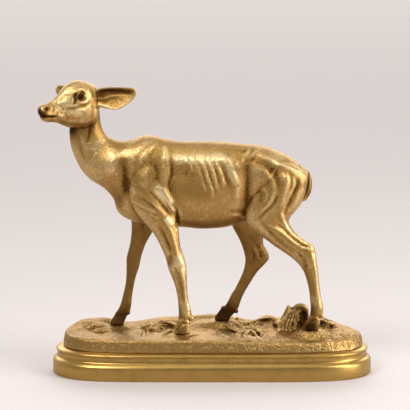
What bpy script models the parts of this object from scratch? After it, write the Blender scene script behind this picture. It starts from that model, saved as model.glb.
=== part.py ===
"""A small gilt-bronze doe walking on a cast ground over a moulded oval plinth.

Sizes are in millimetres and are turned into metres as each object is made.
+X runs from the doe's head to her tail, -Y is her left side and +Z is up.
The origin is under the middle of the plinth.
"""

import math
from typing import Callable, NamedTuple

import bmesh
import bpy
import numpy as np
from mathutils import Matrix, Vector

# Driving sizes of the plinth and the ground
LENGTH = 176.4
DEPTH = 58.6
PLAN_LONG_POWER = 6.0
PLAN_SHORT_POWER = 2.0
PLAN_SIDES = 48
GAP = 0.3
PLINTH_TOP = 15.0
PLINTH_FOOT_BREAK = 0.5
BAND_TOP = 7.4
SHOULDER = ((0.9, 8.7), (2.1, 9.9))
COVE_DEPTH = 1.1
COVE_TOP = 12.0
COVE_STEPS = 2
TORUS_INSET = 3.0
TORUS_MIDDLE = 13.35
TORUS_REACH = (1.1, 1.15)
TORUS_STEPS = 4
PLINTH_TOP_INSET = 4.2
PLINTH_SHARP = math.radians(35.0)
GROUND_FOOT_INSET = 5.2
GROUND_RIM_INSET = 6.5
GROUND_SHIFT = 0.6
GROUND_FOOT_CURVE = 0.2
GROUND_RIM_ROUND = 0.6
GROUND_SIDES = 120
GROUND_RINGS = 24

# Driving sizes of the doe
POLL = Vector((-61.7, 0.0, 156.0))
HEAD_YAW = math.radians(30.0)
HEAD_PITCH = math.radians(14.0)
DOE_VOXEL = 0.6
DOE_TRIANGLES = 6150
DOE_SMOOTHING = 5
GROUND_VOXEL = 0.6
GROUND_TRIANGLES = 2500
GROUND_SMOOTHING = 2

RING_SIDES = 20
RING_STEPS = 4
MM = 0.001

GILT = (0.66, 0.43, 0.15, 1.0)
DOE_ROUGHNESS = 0.34
GROUND_ROUGHNESS = 0.5
PLINTH_ROUGHNESS = 0.3


class Ring(NamedTuple):
    """One section of a limb: its front and back points, its middle, half width and taper."""

    front_x: float
    front_z: float
    back_x: float
    back_z: float
    y: float
    wide: float
    taper: float = 0.0


class Hoof(NamedTuple):
    """One cloven hoof: toe, heel, height of the sole, and the coronet that it grows from."""

    toe_x: float
    heel_x: float
    y: float
    sole_z: float
    coronet_front: tuple
    coronet_back: tuple
    dewclaw: tuple


class Leaf(NamedTuple):
    """One leaf or blade on the earth: root, tip, half width, arch and lift of its tip."""

    root: tuple
    tip: tuple
    half: float
    arch: float
    lift: float


class Stroke(NamedTuple):
    """One tool stroke: its route over the flank, its reach, and its height (cut when negative)."""

    route: tuple
    reach: float
    height: float


# Neck and trunk, from the throat to the root of the tail: front or belly point, then crest or back
TRUNK = (
    Ring(-77.0, 141.5, -61.9, 150.5, 0.0, 4.6),
    Ring(-77.9, 136.5, -61.5, 145.0, 0.0, 5.4),
    Ring(-78.0, 131.0, -60.7, 137.6, 0.0, 5.9),
    Ring(-77.0, 124.6, -57.8, 131.8, 0.0, 6.6),
    Ring(-74.4, 118.1, -51.8, 128.7, 0.0, 7.6, -0.12),
    Ring(-71.4, 112.4, -44.8, 129.1, 0.0, 8.8, -0.16),
    Ring(-66.5, 107.2, -38.3, 131.4, 0.0, 10.2, -0.05),
    Ring(-59.7, 102.8, -32.9, 131.7, 0.0, 11.6, 0.10),
    Ring(-54.4, 97.0, -25.8, 129.7, 0.0, 12.2, 0.10),
    Ring(-51.0, 88.4, -20.3, 128.7, 0.0, 12.8, 0.04),
    Ring(-40.4, 83.2, -15.9, 128.4, 0.0, 13.4),
    Ring(-25.9, 81.6, -9.3, 128.4, 0.0, 14.0, -0.04),
    Ring(-14.9, 80.8, -2.8, 128.4, 0.0, 14.6, -0.04),
    Ring(-4.0, 80.0, 3.5, 128.2, 0.0, 14.8),
    Ring(9.9, 81.4, 12.0, 127.5, 0.0, 14.2, 0.06),
    Ring(19.0, 86.0, 21.9, 126.6, 0.0, 13.2, 0.16),
    Ring(31.0, 91.5, 31.7, 124.9, 0.0, 13.2, 0.12),
    Ring(41.0, 94.5, 40.2, 121.2, 0.0, 11.6, -0.05),
    Ring(47.0, 99.0, 46.6, 116.6, 0.0, 9.2),
    Ring(50.5, 104.0, 50.0, 111.5, 0.0, 5.0),
)

NEAR_HIND = (
    Ring(26.0, 119.5, 42.5, 118.0, -5.0, 6.4),
    Ring(21.5, 110.8, 49.3, 111.6, -6.6, 7.0),
    Ring(19.5, 101.4, 50.3, 103.7, -7.0, 7.2),
    Ring(18.0, 93.1, 48.3, 95.2, -7.2, 6.8),
    Ring(18.6, 86.8, 44.5, 89.6, -7.5, 6.0),
    Ring(22.4, 81.2, 42.1, 85.3, -8.0, 5.2),
    Ring(32.6, 73.0, 46.3, 78.6, -8.4, 3.9),
    Ring(42.2, 66.3, 52.4, 74.0, -8.6, 3.1),
    Ring(46.2, 63.0, 55.4, 72.3, -8.6, 2.9),
    Ring(49.0, 59.6, 56.9, 67.8, -8.7, 2.9),
    Ring(50.9, 56.0, 57.7, 61.6, -8.8, 2.7),
    Ring(53.0, 48.5, 59.2, 49.4, -9.1, 2.3),
    Ring(53.8, 42.3, 60.2, 42.3, -9.4, 2.3),
    Ring(54.2, 37.8, 61.2, 38.1, -9.6, 2.8),
    Ring(54.0, 34.3, 60.8, 34.7, -9.7, 2.8),
    Ring(53.2, 30.8, 59.5, 31.2, -9.8, 2.6),
)

FAR_HIND = (
    Ring(27.0, 119.5, 44.0, 115.5, 5.0, 6.4),
    Ring(19.3, 110.4, 47.5, 103.1, 6.6, 7.0),
    Ring(14.4, 100.3, 43.1, 93.1, 7.0, 7.0),
    Ring(11.1, 92.0, 37.6, 85.2, 7.2, 6.2),
    Ring(10.0, 85.1, 32.3, 79.5, 7.5, 5.4),
    Ring(11.3, 80.0, 29.2, 75.8, 7.8, 4.7),
    Ring(15.6, 71.6, 28.4, 70.2, 8.0, 3.7),
    Ring(17.8, 65.2, 30.6, 66.0, 8.2, 3.1),
    Ring(18.5, 60.9, 31.7, 61.8, 8.4, 2.9),
    Ring(18.0, 56.9, 28.8, 57.8, 8.6, 2.9),
    Ring(16.8, 52.8, 25.2, 53.9, 8.8, 2.7),
    Ring(13.2, 45.1, 20.2, 46.0, 9.1, 2.3),
    Ring(10.7, 41.0, 17.8, 41.6, 9.4, 2.3),
    Ring(9.0, 37.4, 16.2, 37.8, 9.6, 2.8),
    Ring(7.6, 35.0, 14.8, 33.6, 9.8, 2.8),
    Ring(5.0, 32.2, 12.8, 30.6, 10.0, 2.6),
)

NEAR_FORE = (
    Ring(-40.0, 124.0, -27.5, 125.0, -4.5, 4.2),
    Ring(-45.3, 114.9, -24.5, 116.0, -7.2, 5.4),
    Ring(-46.4, 106.1, -23.0, 106.1, -8.4, 5.8),
    Ring(-45.4, 98.4, -21.3, 97.3, -8.8, 5.8),
    Ring(-42.0, 91.2, -19.5, 90.6, -8.8, 5.4),
    Ring(-37.0, 85.0, -18.7, 84.4, -8.8, 4.8),
    Ring(-31.4, 77.9, -17.8, 76.3, -9.0, 4.1),
    Ring(-28.2, 71.8, -17.2, 71.5, -9.1, 3.6),
    Ring(-25.3, 64.8, -15.0, 64.8, -9.2, 3.4),
    Ring(-24.1, 59.5, -13.9, 59.5, -9.3, 3.3),
    Ring(-22.3, 55.2, -13.8, 55.0, -9.4, 2.9),
    Ring(-19.9, 48.2, -13.6, 47.8, -9.5, 2.3),
    Ring(-18.8, 41.6, -12.9, 41.2, -9.6, 2.3),
    Ring(-18.3, 35.8, -11.4, 35.4, -9.7, 2.8),
    Ring(-18.4, 32.0, -11.4, 32.2, -9.8, 2.8),
    Ring(-18.9, 29.2, -12.4, 29.2, -9.9, 2.6),
)

FAR_FORE = (
    Ring(-43.0, 122.0, -28.5, 123.0, 4.5, 4.2),
    Ring(-48.5, 110.0, -26.5, 111.0, 7.6, 5.6),
    Ring(-49.6, 97.0, -27.7, 97.0, 8.6, 5.6),
    Ring(-47.6, 89.2, -29.6, 88.0, 8.6, 5.2),
    Ring(-44.8, 83.2, -31.0, 82.2, 8.6, 4.5),
    Ring(-44.6, 76.8, -33.2, 76.2, 8.6, 3.9),
    Ring(-45.5, 69.5, -36.8, 69.8, 8.6, 3.4),
    Ring(-47.3, 62.5, -39.2, 62.6, 8.6, 3.3),
    Ring(-47.5, 57.0, -40.4, 57.0, 8.6, 3.1),
    Ring(-47.6, 51.7, -42.2, 51.7, 8.6, 2.6),
    Ring(-48.2, 46.6, -43.3, 46.6, 8.6, 2.3),
    Ring(-49.6, 40.6, -44.4, 40.6, 8.6, 2.3),
    Ring(-50.8, 36.0, -44.8, 36.0, 8.7, 2.8),
    Ring(-52.6, 32.2, -45.6, 32.0, 8.8, 2.8),
    Ring(-54.4, 29.6, -47.2, 29.0, 8.9, 2.6),
)

HOOVES = (
    Hoof(-21.2, -12.0, -10.0, 23.4, (-19.0, 30.0), (-12.2, 29.6), (-11.2, 31.8)),
    Hoof(-57.0, -49.0, 9.0, 24.4, (-54.2, 30.0), (-47.6, 29.2), (-46.6, 31.2)),
    Hoof(49.6, 58.8, -10.0, 25.4, (53.0, 31.8), (59.5, 31.2), (60.4, 33.2)),
    Hoof(1.4, 10.0, 10.0, 26.8, (4.8, 33.0), (12.4, 31.0), (13.6, 31.8)),
)

HOOF_WALL = 1.2
CLAW_APART_TOP = 1.2
CLAW_APART_SOLE = 1.55
CLAW_HALF_TOP = 1.3
CLAW_HALF_CORONET = 1.55
CLAW_HALF_SOLE = 1.75
CLAW_POINT = 0.3
DEWCLAW_APART = 1.5
DEWCLAW_HALVES = (1.2, 0.9, 1.4, 1.0)

# The head in its own frame: along from the poll to the nose, and up; crown point, then jaw point
HEAD = (
    Ring(0.6, 0.6, 4.0, -11.0, 0.0, 3.2),
    Ring(2.0, 3.8, 6.4, -14.6, 0.0, 4.8, 0.02),
    Ring(4.6, 6.2, 8.6, -16.6, 0.0, 6.2, -0.05),
    Ring(8.0, 8.4, 11.4, -17.2, 0.0, 6.9, -0.10),
    Ring(12.0, 10.0, 15.0, -16.0, 0.0, 7.3, -0.16),
    Ring(16.0, 9.8, 18.8, -14.8, 0.0, 6.9, -0.18),
    Ring(20.0, 8.6, 22.7, -13.6, 0.0, 5.6, -0.12),
    Ring(23.5, 6.2, 26.0, -11.2, 0.0, 4.6, 0.0),
    Ring(27.0, 4.5, 28.5, -9.2, 0.0, 4.0, 0.05),
    Ring(31.5, 3.1, 32.0, -7.6, 0.0, 3.7, 0.05),
    Ring(35.0, 3.1, 34.8, -6.7, 0.0, 3.8),
    Ring(36.8, 2.8, 36.4, -5.6, 0.0, 3.4),
    Ring(37.7, 1.4, 37.5, -3.0, 0.0, 2.2),
)
EYE = Vector((14.6, 5.7, 2.8))
EYE_RADIUS = 2.6

# An ear in its own frame: along from the root to the tip, upper edge, then lower edge
EAR = (
    Ring(-2.0, 3.4, -2.0, -5.8, 0.0, 2.2),
    Ring(3.0, 4.2, 3.0, -6.6, 0.0, 1.3),
    Ring(7.5, 4.2, 7.5, -7.9, 0.0, 1.0),
    Ring(12.5, 3.8, 12.5, -7.8, 0.0, 0.9),
    Ring(17.5, 3.5, 17.5, -5.6, 0.0, 0.9),
    Ring(20.8, 3.2, 20.8, -3.2, 0.0, 0.85),
    Ring(22.3, 2.6, 22.3, -1.6, 0.0, 0.8),
    Ring(23.2, 1.5, 23.2, -0.2, 0.0, 0.7),
)
EAR_BLUNTNESS = 0.45
EAR_CUP = 1.9
EAR_MIDDLE = -1.8
EAR_SPREAD = 6.5
NEAR_EAR_ROOT = Vector((-61.0, -5.4, 154.2))
NEAR_EAR_TIP = Vector((-41.0, -12.6, 156.2))
NEAR_EAR_OPENING = Vector((-0.25, -1.0, 0.1))
FAR_EAR_ROOT = Vector((-66.0, 5.0, 153.6))
FAR_EAR_TIP = Vector((-86.6, 17.0, 154.4))
FAR_EAR_OPENING = Vector((-0.4, -0.8, 0.2))

# Dock and tail, laid against the rump
TAIL = (
    Ring(45.0, 115.6, 48.4, 114.2, 0.0, 2.2),
    Ring(48.2, 110.8, 52.8, 111.2, 0.0, 2.7),
    Ring(50.0, 106.0, 54.9, 106.4, 0.0, 2.9),
    Ring(49.6, 100.6, 54.6, 100.6, 0.0, 2.5),
    Ring(48.0, 95.2, 52.2, 95.6, 0.0, 1.6),
)

# Strokes over both flanks: bones that stand out, and hollows between the muscles
FLANK_STROKES = (
    Stroke(((-12.5, 115.0), (-9.0, 108.0), (-6.5, 99.0)), 1.2, 0.5),
    Stroke(((-8.0, 114.5), (-4.6, 108.0), (-2.2, 98.0)), 1.2, 0.75),
    Stroke(((-3.0, 115.0), (-0.8, 107.5), (1.2, 99.0)), 1.2, 0.8),
    Stroke(((1.2, 116.0), (3.2, 109.0), (4.9, 101.0)), 1.2, 0.8),
    Stroke(((6.0, 118.0), (9.0, 111.0), (13.8, 103.5)), 1.8, 0.9),
    Stroke(((18.5, 116.0), (19.6, 106.0), (18.5, 94.0)), 2.8, -1.7),
    Stroke(((-33.5, 124.5), (-41.0, 115.0)), 1.6, 0.8),
    Stroke(((-25.5, 124.0), (-24.0, 118.0), (-25.5, 109.0), (-27.5, 104.0)), 1.6, 0.8),
    Stroke(((-47.5, 118.0), (-48.2, 108.0), (-46.5, 98.0)), 2.0, -1.2),
    Stroke(((-30.5, 118.0), (-33.5, 108.0)), 2.6, -0.7),
    Stroke(((15.5, 120.5), (20.0, 122.5), (25.0, 124.0)), 1.8, 0.9),
    Stroke(((25.0, 123.5), (32.5, 119.5), (41.0, 115.0), (50.0, 112.0)), 1.8, 1.0),
    Stroke(((22.0, 117.0), (33.0, 112.5)), 2.8, -1.1),
    Stroke(((27.5, 117.0), (33.5, 110.0), (34.5, 102.0), (31.0, 93.0)), 2.0, 1.0),
    Stroke(((38.8, 110.5), (42.5, 102.0), (41.0, 93.0)), 1.6, -1.1),
    Stroke(((48.0, 109.0), (45.0, 99.0), (42.5, 93.0)), 1.5, -0.9),
    Stroke(((-22.5, 95.0), (-20.0, 89.0), (-20.0, 82.0)), 1.5, -1.2),
    Stroke(((-33.0, 103.5), (-26.0, 95.5), (-22.5, 91.0)), 1.7, 0.9),
    Stroke(((-38.5, 102.0), (-28.5, 91.5)), 1.3, -0.7),
    Stroke(((-18.0, 83.5), (-2.0, 82.0), (10.0, 83.5)), 2.2, -0.6),
)

# Strokes over both sides of the head, in its own frame
HEAD_STROKES = (
    Stroke(((9.6, 4.2), (11.6, 6.8), (14.8, 7.6), (18.4, 6.2)), 1.0, 0.8),
    Stroke(((11.2, 2.2), (12.2, 4.8), (14.8, 5.9), (17.6, 4.6)), 0.6, -0.8),
    Stroke(((11.2, 2.2), (13.0, -0.2), (16.2, -0.4), (18.4, 1.4)), 0.6, -0.7),
    Stroke(((10.6, -0.6), (13.6, -2.4), (17.4, -2.2)), 0.9, 0.6),
    Stroke(((18.8, 2.6), (20.8, 0.8)), 1.2, -1.0),
    Stroke(((27.5, -2.0), (20.0, -2.4), (12.0, -1.8)), 1.1, 0.6),
    Stroke(((24.0, -5.0), (14.0, -5.0)), 1.0, -0.5),
    Stroke(((39.0, -2.2), (34.5, -2.9), (31.0, -3.4)), 0.7, -0.7),
    Stroke(((37.6, 1.0), (36.2, 0.6)), 0.7, -0.7),
    Stroke(((8.0, 4.0), (7.6, -2.0), (6.6, -6.0)), 1.1, 0.6),
)
STROKE_FACING = 0.25
FLANK_REACH = (-58.0, 60.0)
HEAD_REACH = (3.0, 50.0)

# Mounds of the earth: middle, reach along and across, and rise over the front rim
MOUNDS = (
    (-66.0, 15.0, 16.0, 13.0, 4.1),
    (-26.0, 18.0, 12.0, 12.0, 4.0),
    (-1.0, 19.0, 12.0, 13.0, 5.4),
    (35.0, 18.0, 14.0, 13.0, 4.6),
    (61.0, 15.0, 10.0, 12.0, 4.0),
    (76.0, 2.0, 12.0, 14.0, 1.5),
)
RIM_HEIGHT = 21.8
BACK_RISE = 0.7
RIPPLE_HEIGHT = 0.35
RIPPLE_ALONG = 0.31
RIPPLE_ACROSS = 0.33
RIPPLE_START = 0.7
PAD_REACH = 4.6
PAD_BLEND = 5.0
PAD_STRETCH = 1.3

LEAVES = (
    Leaf((-70.0, 2.0), (-58.0, 5.5), 1.6, 1.3, 0.5),
    Leaf((-68.0, -2.0), (-55.0, -1.0), 1.7, 1.4, 0.2),
    Leaf((-66.0, -7.0), (-56.0, -10.5), 1.5, 1.3, 0.2),
    Leaf((-40.0, 5.0), (-29.0, 3.0), 2.3, 2.2, 0.3),
    Leaf((-38.0, 2.0), (-27.0, -1.0), 1.5, 1.5, 0.2),
    Leaf((-28.0, 9.0), (-18.0, 6.0), 2.2, 2.0, 0.6),
    Leaf((-27.0, -12.0), (-20.5, -2.5), 1.2, 1.4, 0.4),
    Leaf((-8.0, -12.4), (-18.5, -16.2), 1.1, 1.2, 0.2),
    Leaf((8.0, 4.0), (16.0, -3.0), 2.4, 2.0, 0.6),
    Leaf((25.0, 15.0), (37.0, 12.5), 3.0, 2.4, 0.2),
    Leaf((14.0, 12.0), (24.0, 15.0), 2.2, 1.2, 0.2),
    Leaf((34.0, 6.0), (40.0, -1.0), 2.0, 2.0, 0.8),
    Leaf((59.0, 9.0), (66.0, 6.5), 3.2, 2.4, 1.2),
    Leaf((63.0, 3.0), (69.0, 5.0), 2.2, 2.0, 0.8),
)
FERN_ROOT = (21.0, -1.0)
FERN_TIPS = ((13.0, -8.0), (18.0, -10.5), (25.5, -12.5), (30.0, -9.0), (31.0, -3.0), (26.0, 6.0), (19.5, 7.0))
FERN_HALF = 1.0
FERN_ARCH = 1.3
FERN_DROP = -0.2
LEAF_STEPS = 7
LEAF_SIDES = 8
LEAF_THICK = 0.9
LEAF_SINK = 0.6
LEAF_STALK = 0.25

# The broken stump: its left horn, the arch over its hollow, and the dark wood behind
STUMP = (
    Ring(37.0, 24.5, 48.4, 24.5, 1.2, 5.2),
    Ring(39.0, 29.2, 48.4, 29.0, 1.6, 4.8),
    Ring(40.2, 32.8, 48.2, 32.4, 2.0, 4.4),
    Ring(42.2, 35.6, 48.4, 33.6, 2.4, 4.2),
    Ring(46.0, 36.6, 49.2, 33.8, 2.6, 4.2),
    Ring(50.4, 37.0, 50.6, 34.2, 2.8, 4.2),
    Ring(53.4, 35.4, 52.0, 33.4, 3.0, 3.8),
    Ring(54.6, 31.4, 52.6, 30.8, 3.2, 3.0),
    Ring(54.6, 25.0, 52.4, 25.0, 3.4, 2.4),
)
STUMP_HORN = (
    Ring(39.0, 30.5, 44.0, 30.5, 3.2, 2.4),
    Ring(40.8, 34.4, 44.0, 34.4, 3.4, 2.0),
    Ring(41.4, 36.6, 43.4, 36.6, 3.6, 1.4),
)
STUMP_CORE = (
    Ring(40.5, 25.0, 54.0, 25.0, 6.0, 3.6),
    Ring(42.5, 31.0, 53.4, 31.0, 6.2, 3.0),
    Ring(44.5, 34.8, 52.0, 34.6, 6.2, 2.2),
)
STUMP_FIBRES = (
    ((44.6, 34.6), (40.6, 29.6), (36.4, 25.6)),
    ((45.4, 34.4), (42.6, 29.2), (40.0, 25.0)),
    ((46.2, 34.2), (44.8, 29.2), (43.8, 24.8)),
    ((47.0, 33.8), (47.2, 29.2), (47.6, 24.8)),
)
FIBRE_FACE = -3.4
FIBRE_LEAN = -0.9
FIBRE_RADIUS = 0.85


def plan_point(half_length: float, half_depth: float, angle: float) -> tuple:
    """Return a point of the oval plan: long sides nearly straight, and rounded ends."""
    along = math.cos(angle)
    across = math.sin(angle)
    x = math.copysign(abs(along) ** (2.0 / PLAN_LONG_POWER), along) * half_length
    y = math.copysign(abs(across) ** (2.0 / PLAN_SHORT_POWER), across) * half_depth
    return x, y


def blend_rings(rings: tuple, steps: int) -> list:
    """Return the rings with smooth in-between rings, by a Catmull-Rom curve through each value."""
    out = []
    last = len(rings) - 1
    for index in range(last):
        before = rings[max(index - 1, 0)]
        here = rings[index]
        there = rings[index + 1]
        after = rings[min(index + 2, last)]
        for step in range(steps):
            t = step / steps
            values = []
            for a, b, c, d in zip(before, here, there, after):
                curve = 2 * b + (c - a) * t + (2 * a - 5 * b + 4 * c - d) * t * t
                curve += (3 * b - a - 3 * c + d) * t * t * t
                values.append(curve / 2)
            out.append(Ring(*values))
    out.append(rings[last])
    return out


def ring_points(ring: Ring, sides: int, place: Callable, bluntness: float) -> list:
    """Return the points of one oval section, from its front point round to its back and on."""
    points = []
    middle_x = (ring.front_x + ring.back_x) / 2
    middle_z = (ring.front_z + ring.back_z) / 2
    half_x = (ring.front_x - ring.back_x) / 2
    half_z = (ring.front_z - ring.back_z) / 2
    for side in range(sides):
        angle = math.tau * side / sides
        reach = math.cos(angle)
        bulge = math.copysign(abs(math.sin(angle)) ** bluntness, math.sin(angle))
        across = bulge * ring.wide * (1 - ring.taper * reach)
        points.append(place(middle_x + half_x * reach, ring.y + across, middle_z + half_z * reach))
    return points


def as_modelled(x: float, y: float, z: float) -> Vector:
    """Return a point of the doe's own frame unchanged."""
    return Vector((x, y, z))


def loft(mesh: bmesh.types.BMesh, outlines: list) -> None:
    """Add one closed skin through the outlines, each a list of as many points."""
    loops = [[mesh.verts.new(point) for point in outline] for outline in outlines]
    faces = [mesh.faces.new(loops[0]), mesh.faces.new(reversed(loops[-1]))]
    for lower, upper in zip(loops, loops[1:]):
        for side in range(len(lower)):
            after = (side + 1) % len(lower)
            faces.append(mesh.faces.new((lower[after], lower[side], upper[side], upper[after])))
    bmesh.ops.recalc_face_normals(mesh, faces=faces)


def loft_rings(
    mesh: bmesh.types.BMesh, rings: tuple, place: Callable = as_modelled, bluntness: float = 1.0
) -> None:
    """Add one smooth limb through its rings."""
    smooth = blend_rings(rings, RING_STEPS)
    loft(mesh, [ring_points(ring, RING_SIDES, place, bluntness) for ring in smooth])


def head_frame() -> Matrix:
    """Return the head's frame: x from the poll to the nose, y to her left side and z to the crown."""
    level = Vector((-math.cos(HEAD_YAW), -math.sin(HEAD_YAW), 0.0))
    side = Vector((math.sin(HEAD_YAW), -math.cos(HEAD_YAW), 0.0))
    up = Vector((0.0, 0.0, 1.0))
    along = level * math.cos(HEAD_PITCH) - up * math.sin(HEAD_PITCH)
    crown = level * math.sin(HEAD_PITCH) + up * math.cos(HEAD_PITCH)
    turn = Matrix((along, side, crown)).transposed()
    return Matrix.Translation(POLL) @ turn.to_4x4()


def head_place(x: float, y: float, z: float) -> Vector:
    """Return a point of the head's frame in the doe's."""
    return head_frame() @ Vector((x, y, z))


def ear_place(root: Vector, tip: Vector, opening: Vector) -> Callable:
    """Return the placing of an ear that runs from its root to its tip, cupped towards its opening."""
    along = (tip - root).normalized()
    across = opening.cross(along).normalized()
    if across.z < 0:
        across = -across
    facing = across.cross(along)
    if facing.dot(opening) < 0:
        facing = -facing
    stretch = (tip - root).length / EAR[-1].front_x

    def place(x: float, y: float, z: float) -> Vector:
        """Place one point of the ear, raising its edges above its middle."""
        edge = (z - EAR_MIDDLE) / EAR_SPREAD
        return root + along * x * stretch + across * z + facing * (y + EAR_CUP * edge * edge)

    return place


def add_hoof(mesh: bmesh.types.BMesh, hoof: Hoof) -> None:
    """Add the two claws of a hoof and the two dewclaws behind its fetlock."""
    front_x, front_z = hoof.coronet_front
    back_x, back_z = hoof.coronet_back
    wall_z = hoof.sole_z + HOOF_WALL
    for side in (-1, 1):
        y_top = hoof.y + side * CLAW_APART_TOP
        y_low = hoof.y + side * CLAW_APART_SOLE
        claw = (
            Ring(front_x + 0.8, front_z + 1.5, back_x - 0.8, back_z + 1.5, y_top, CLAW_HALF_TOP),
            Ring(front_x, front_z - 0.5, back_x, back_z - 0.5, y_top, CLAW_HALF_CORONET, CLAW_POINT / 3),
            Ring(hoof.toe_x + 0.6, wall_z + 0.6, hoof.heel_x, wall_z, y_low, CLAW_HALF_SOLE, CLAW_POINT),
            Ring(hoof.toe_x, hoof.sole_z, hoof.heel_x - 0.2, hoof.sole_z, y_low, CLAW_HALF_SOLE, CLAW_POINT),
        )
        loft_rings(mesh, claw)
        claw_x, claw_z = hoof.dewclaw
        middle = Matrix.Translation((claw_x, hoof.y + side * DEWCLAW_APART, claw_z))
        place = middle @ Matrix.Diagonal(DEWCLAW_HALVES)
        bmesh.ops.create_uvsphere(mesh, u_segments=10, v_segments=8, radius=1.0, matrix=place)


def skinned(name: str, mesh: bmesh.types.BMesh, voxel: float, smoothing: int) -> bpy.types.Mesh:
    """Join overlapping closed skins into one, as even voxels, and smooth it."""
    rough = bpy.data.meshes.new(name + "_rough")
    mesh.to_mesh(rough)
    mesh.free()
    carrier = bpy.data.objects.new(name + "_rough", rough)
    bpy.context.scene.collection.objects.link(carrier)
    remesh = carrier.modifiers.new("join", "REMESH")
    remesh.mode = "VOXEL"
    remesh.voxel_size = voxel
    relax = carrier.modifiers.new("relax", "SMOOTH")
    relax.factor = 0.5
    relax.iterations = smoothing
    bpy.context.view_layer.update()
    graph = bpy.context.evaluated_depsgraph_get()
    joined = bpy.data.meshes.new_from_object(carrier.evaluated_get(graph), depsgraph=graph)
    bpy.data.objects.remove(carrier)
    bpy.data.meshes.remove(rough)
    joined.name = name
    return joined


def route_distance(points: np.ndarray, route: tuple) -> np.ndarray:
    """Return how far each point, seen from the side, lies from a route of straight runs."""
    nearest = np.full(len(points), np.inf)
    for start, end in zip(route, route[1:]):
        start = np.array(start)
        run = np.array(end) - start
        share = np.clip((points - start) @ run / (run @ run), 0.0, 1.0)
        gap = points - start - share[:, None] * run
        nearest = np.minimum(nearest, np.linalg.norm(gap, axis=1))
    return nearest


def carve(mesh: bpy.types.Mesh, strokes: tuple, frame: Matrix, reach: tuple) -> None:
    """Raise and cut strokes on both sides of a frame, where its own x lies within the reach."""
    count = len(mesh.vertices)
    places = np.empty(count * 3)
    normals = np.empty(count * 3)
    mesh.vertices.foreach_get("co", places)
    mesh.vertex_normals.foreach_get("vector", normals)
    places = places.reshape(-1, 3)
    normals = normals.reshape(-1, 3)
    turn = np.array(frame.to_3x3())
    local = (places - np.array(frame.translation)) @ turn
    outward = (normals @ turn)[:, 1] * np.sign(local[:, 1])
    facing = np.clip(outward / STROKE_FACING, 0.0, 1.0)
    facing[(local[:, 0] < reach[0]) | (local[:, 0] > reach[1])] = 0.0
    lift = np.zeros(count)
    for stroke in strokes:
        distance = route_distance(local[:, [0, 2]], stroke.route)
        lift += stroke.height * np.exp(-(distance / stroke.reach) ** 2)
    places += normals * (lift * facing)[:, None]
    mesh.vertices.foreach_set("co", places.ravel())
    mesh.update()


def finished(name: str, mesh: bpy.types.Mesh, colour: tuple, roughness: float) -> bpy.types.Object:
    """Make the named object of a mesh in millimetres, with its own material."""
    mesh.transform(Matrix.Scale(MM, 4))
    mesh.name = name
    piece = bpy.data.objects.new(name, mesh)
    bpy.context.scene.collection.objects.link(piece)
    finish = bpy.data.materials.new(name)
    finish.use_nodes = True
    shader = finish.node_tree.nodes["Principled BSDF"]
    shader.inputs["Base Color"].default_value = colour
    shader.inputs["Metallic"].default_value = 1.0
    shader.inputs["Roughness"].default_value = roughness
    mesh.materials.clear()
    mesh.materials.append(finish)
    return piece


def thinned(piece: bpy.types.Object, triangles: int) -> None:
    """Bring a fine skin down to about as many triangles."""
    piece.data.calc_loop_triangles()
    decimate = piece.modifiers.new("facets", "DECIMATE")
    decimate.ratio = triangles / len(piece.data.loop_triangles)


def build_doe() -> None:
    """Model the doe: trunk, legs, hooves, head, ears and tail in one casting."""
    mesh = bmesh.new()
    for limb in (TRUNK, NEAR_HIND, FAR_HIND, NEAR_FORE, FAR_FORE, TAIL):
        loft_rings(mesh, limb)
    loft_rings(mesh, HEAD, head_place)
    for side in (-1, 1):
        socket = Matrix.Translation(head_place(EYE.x, EYE.y * side, EYE.z))
        bmesh.ops.create_uvsphere(mesh, u_segments=16, v_segments=10, radius=EYE_RADIUS, matrix=socket)
    near_ear = ear_place(NEAR_EAR_ROOT, NEAR_EAR_TIP, NEAR_EAR_OPENING)
    far_ear = ear_place(FAR_EAR_ROOT, FAR_EAR_TIP, FAR_EAR_OPENING)
    loft_rings(mesh, EAR, near_ear, EAR_BLUNTNESS)
    loft_rings(mesh, EAR, far_ear, EAR_BLUNTNESS)
    for hoof in HOOVES:
        add_hoof(mesh, hoof)
    skin = skinned("doe", mesh, DOE_VOXEL, DOE_SMOOTHING)
    carve(skin, FLANK_STROKES, Matrix.Identity(4), FLANK_REACH)
    carve(skin, HEAD_STROKES, head_frame(), HEAD_REACH)
    doe = finished("doe", skin, GILT, DOE_ROUGHNESS)
    thinned(doe, DOE_TRIANGLES)


def eased(share: float) -> float:
    """Return a share from 0 to 1 eased at both ends."""
    inside = min(max(share, 0.0), 1.0)
    return inside * inside * (3 - 2 * inside)


def ground_height(x: float, y: float) -> float:
    """Return the height of the earth, level under each hoof."""
    height = RIM_HEIGHT + BACK_RISE * (y + DEPTH / 2) / DEPTH
    for middle_x, middle_y, reach_x, reach_y, rise in MOUNDS:
        height += rise * math.exp(-((x - middle_x) / reach_x) ** 2 - ((y - middle_y) / reach_y) ** 2)
    height += RIPPLE_HEIGHT * math.sin(x * RIPPLE_ALONG + RIPPLE_START) * math.cos(y * RIPPLE_ACROSS)
    for hoof in HOOVES:
        middle_x = (hoof.toe_x + hoof.heel_x) / 2
        distance = math.hypot((x - middle_x) / PAD_STRETCH, y - hoof.y)
        share = eased((distance - PAD_REACH) / PAD_BLEND)
        height = (hoof.sole_z - GAP) * (1 - share) + height * share
    return height


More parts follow.
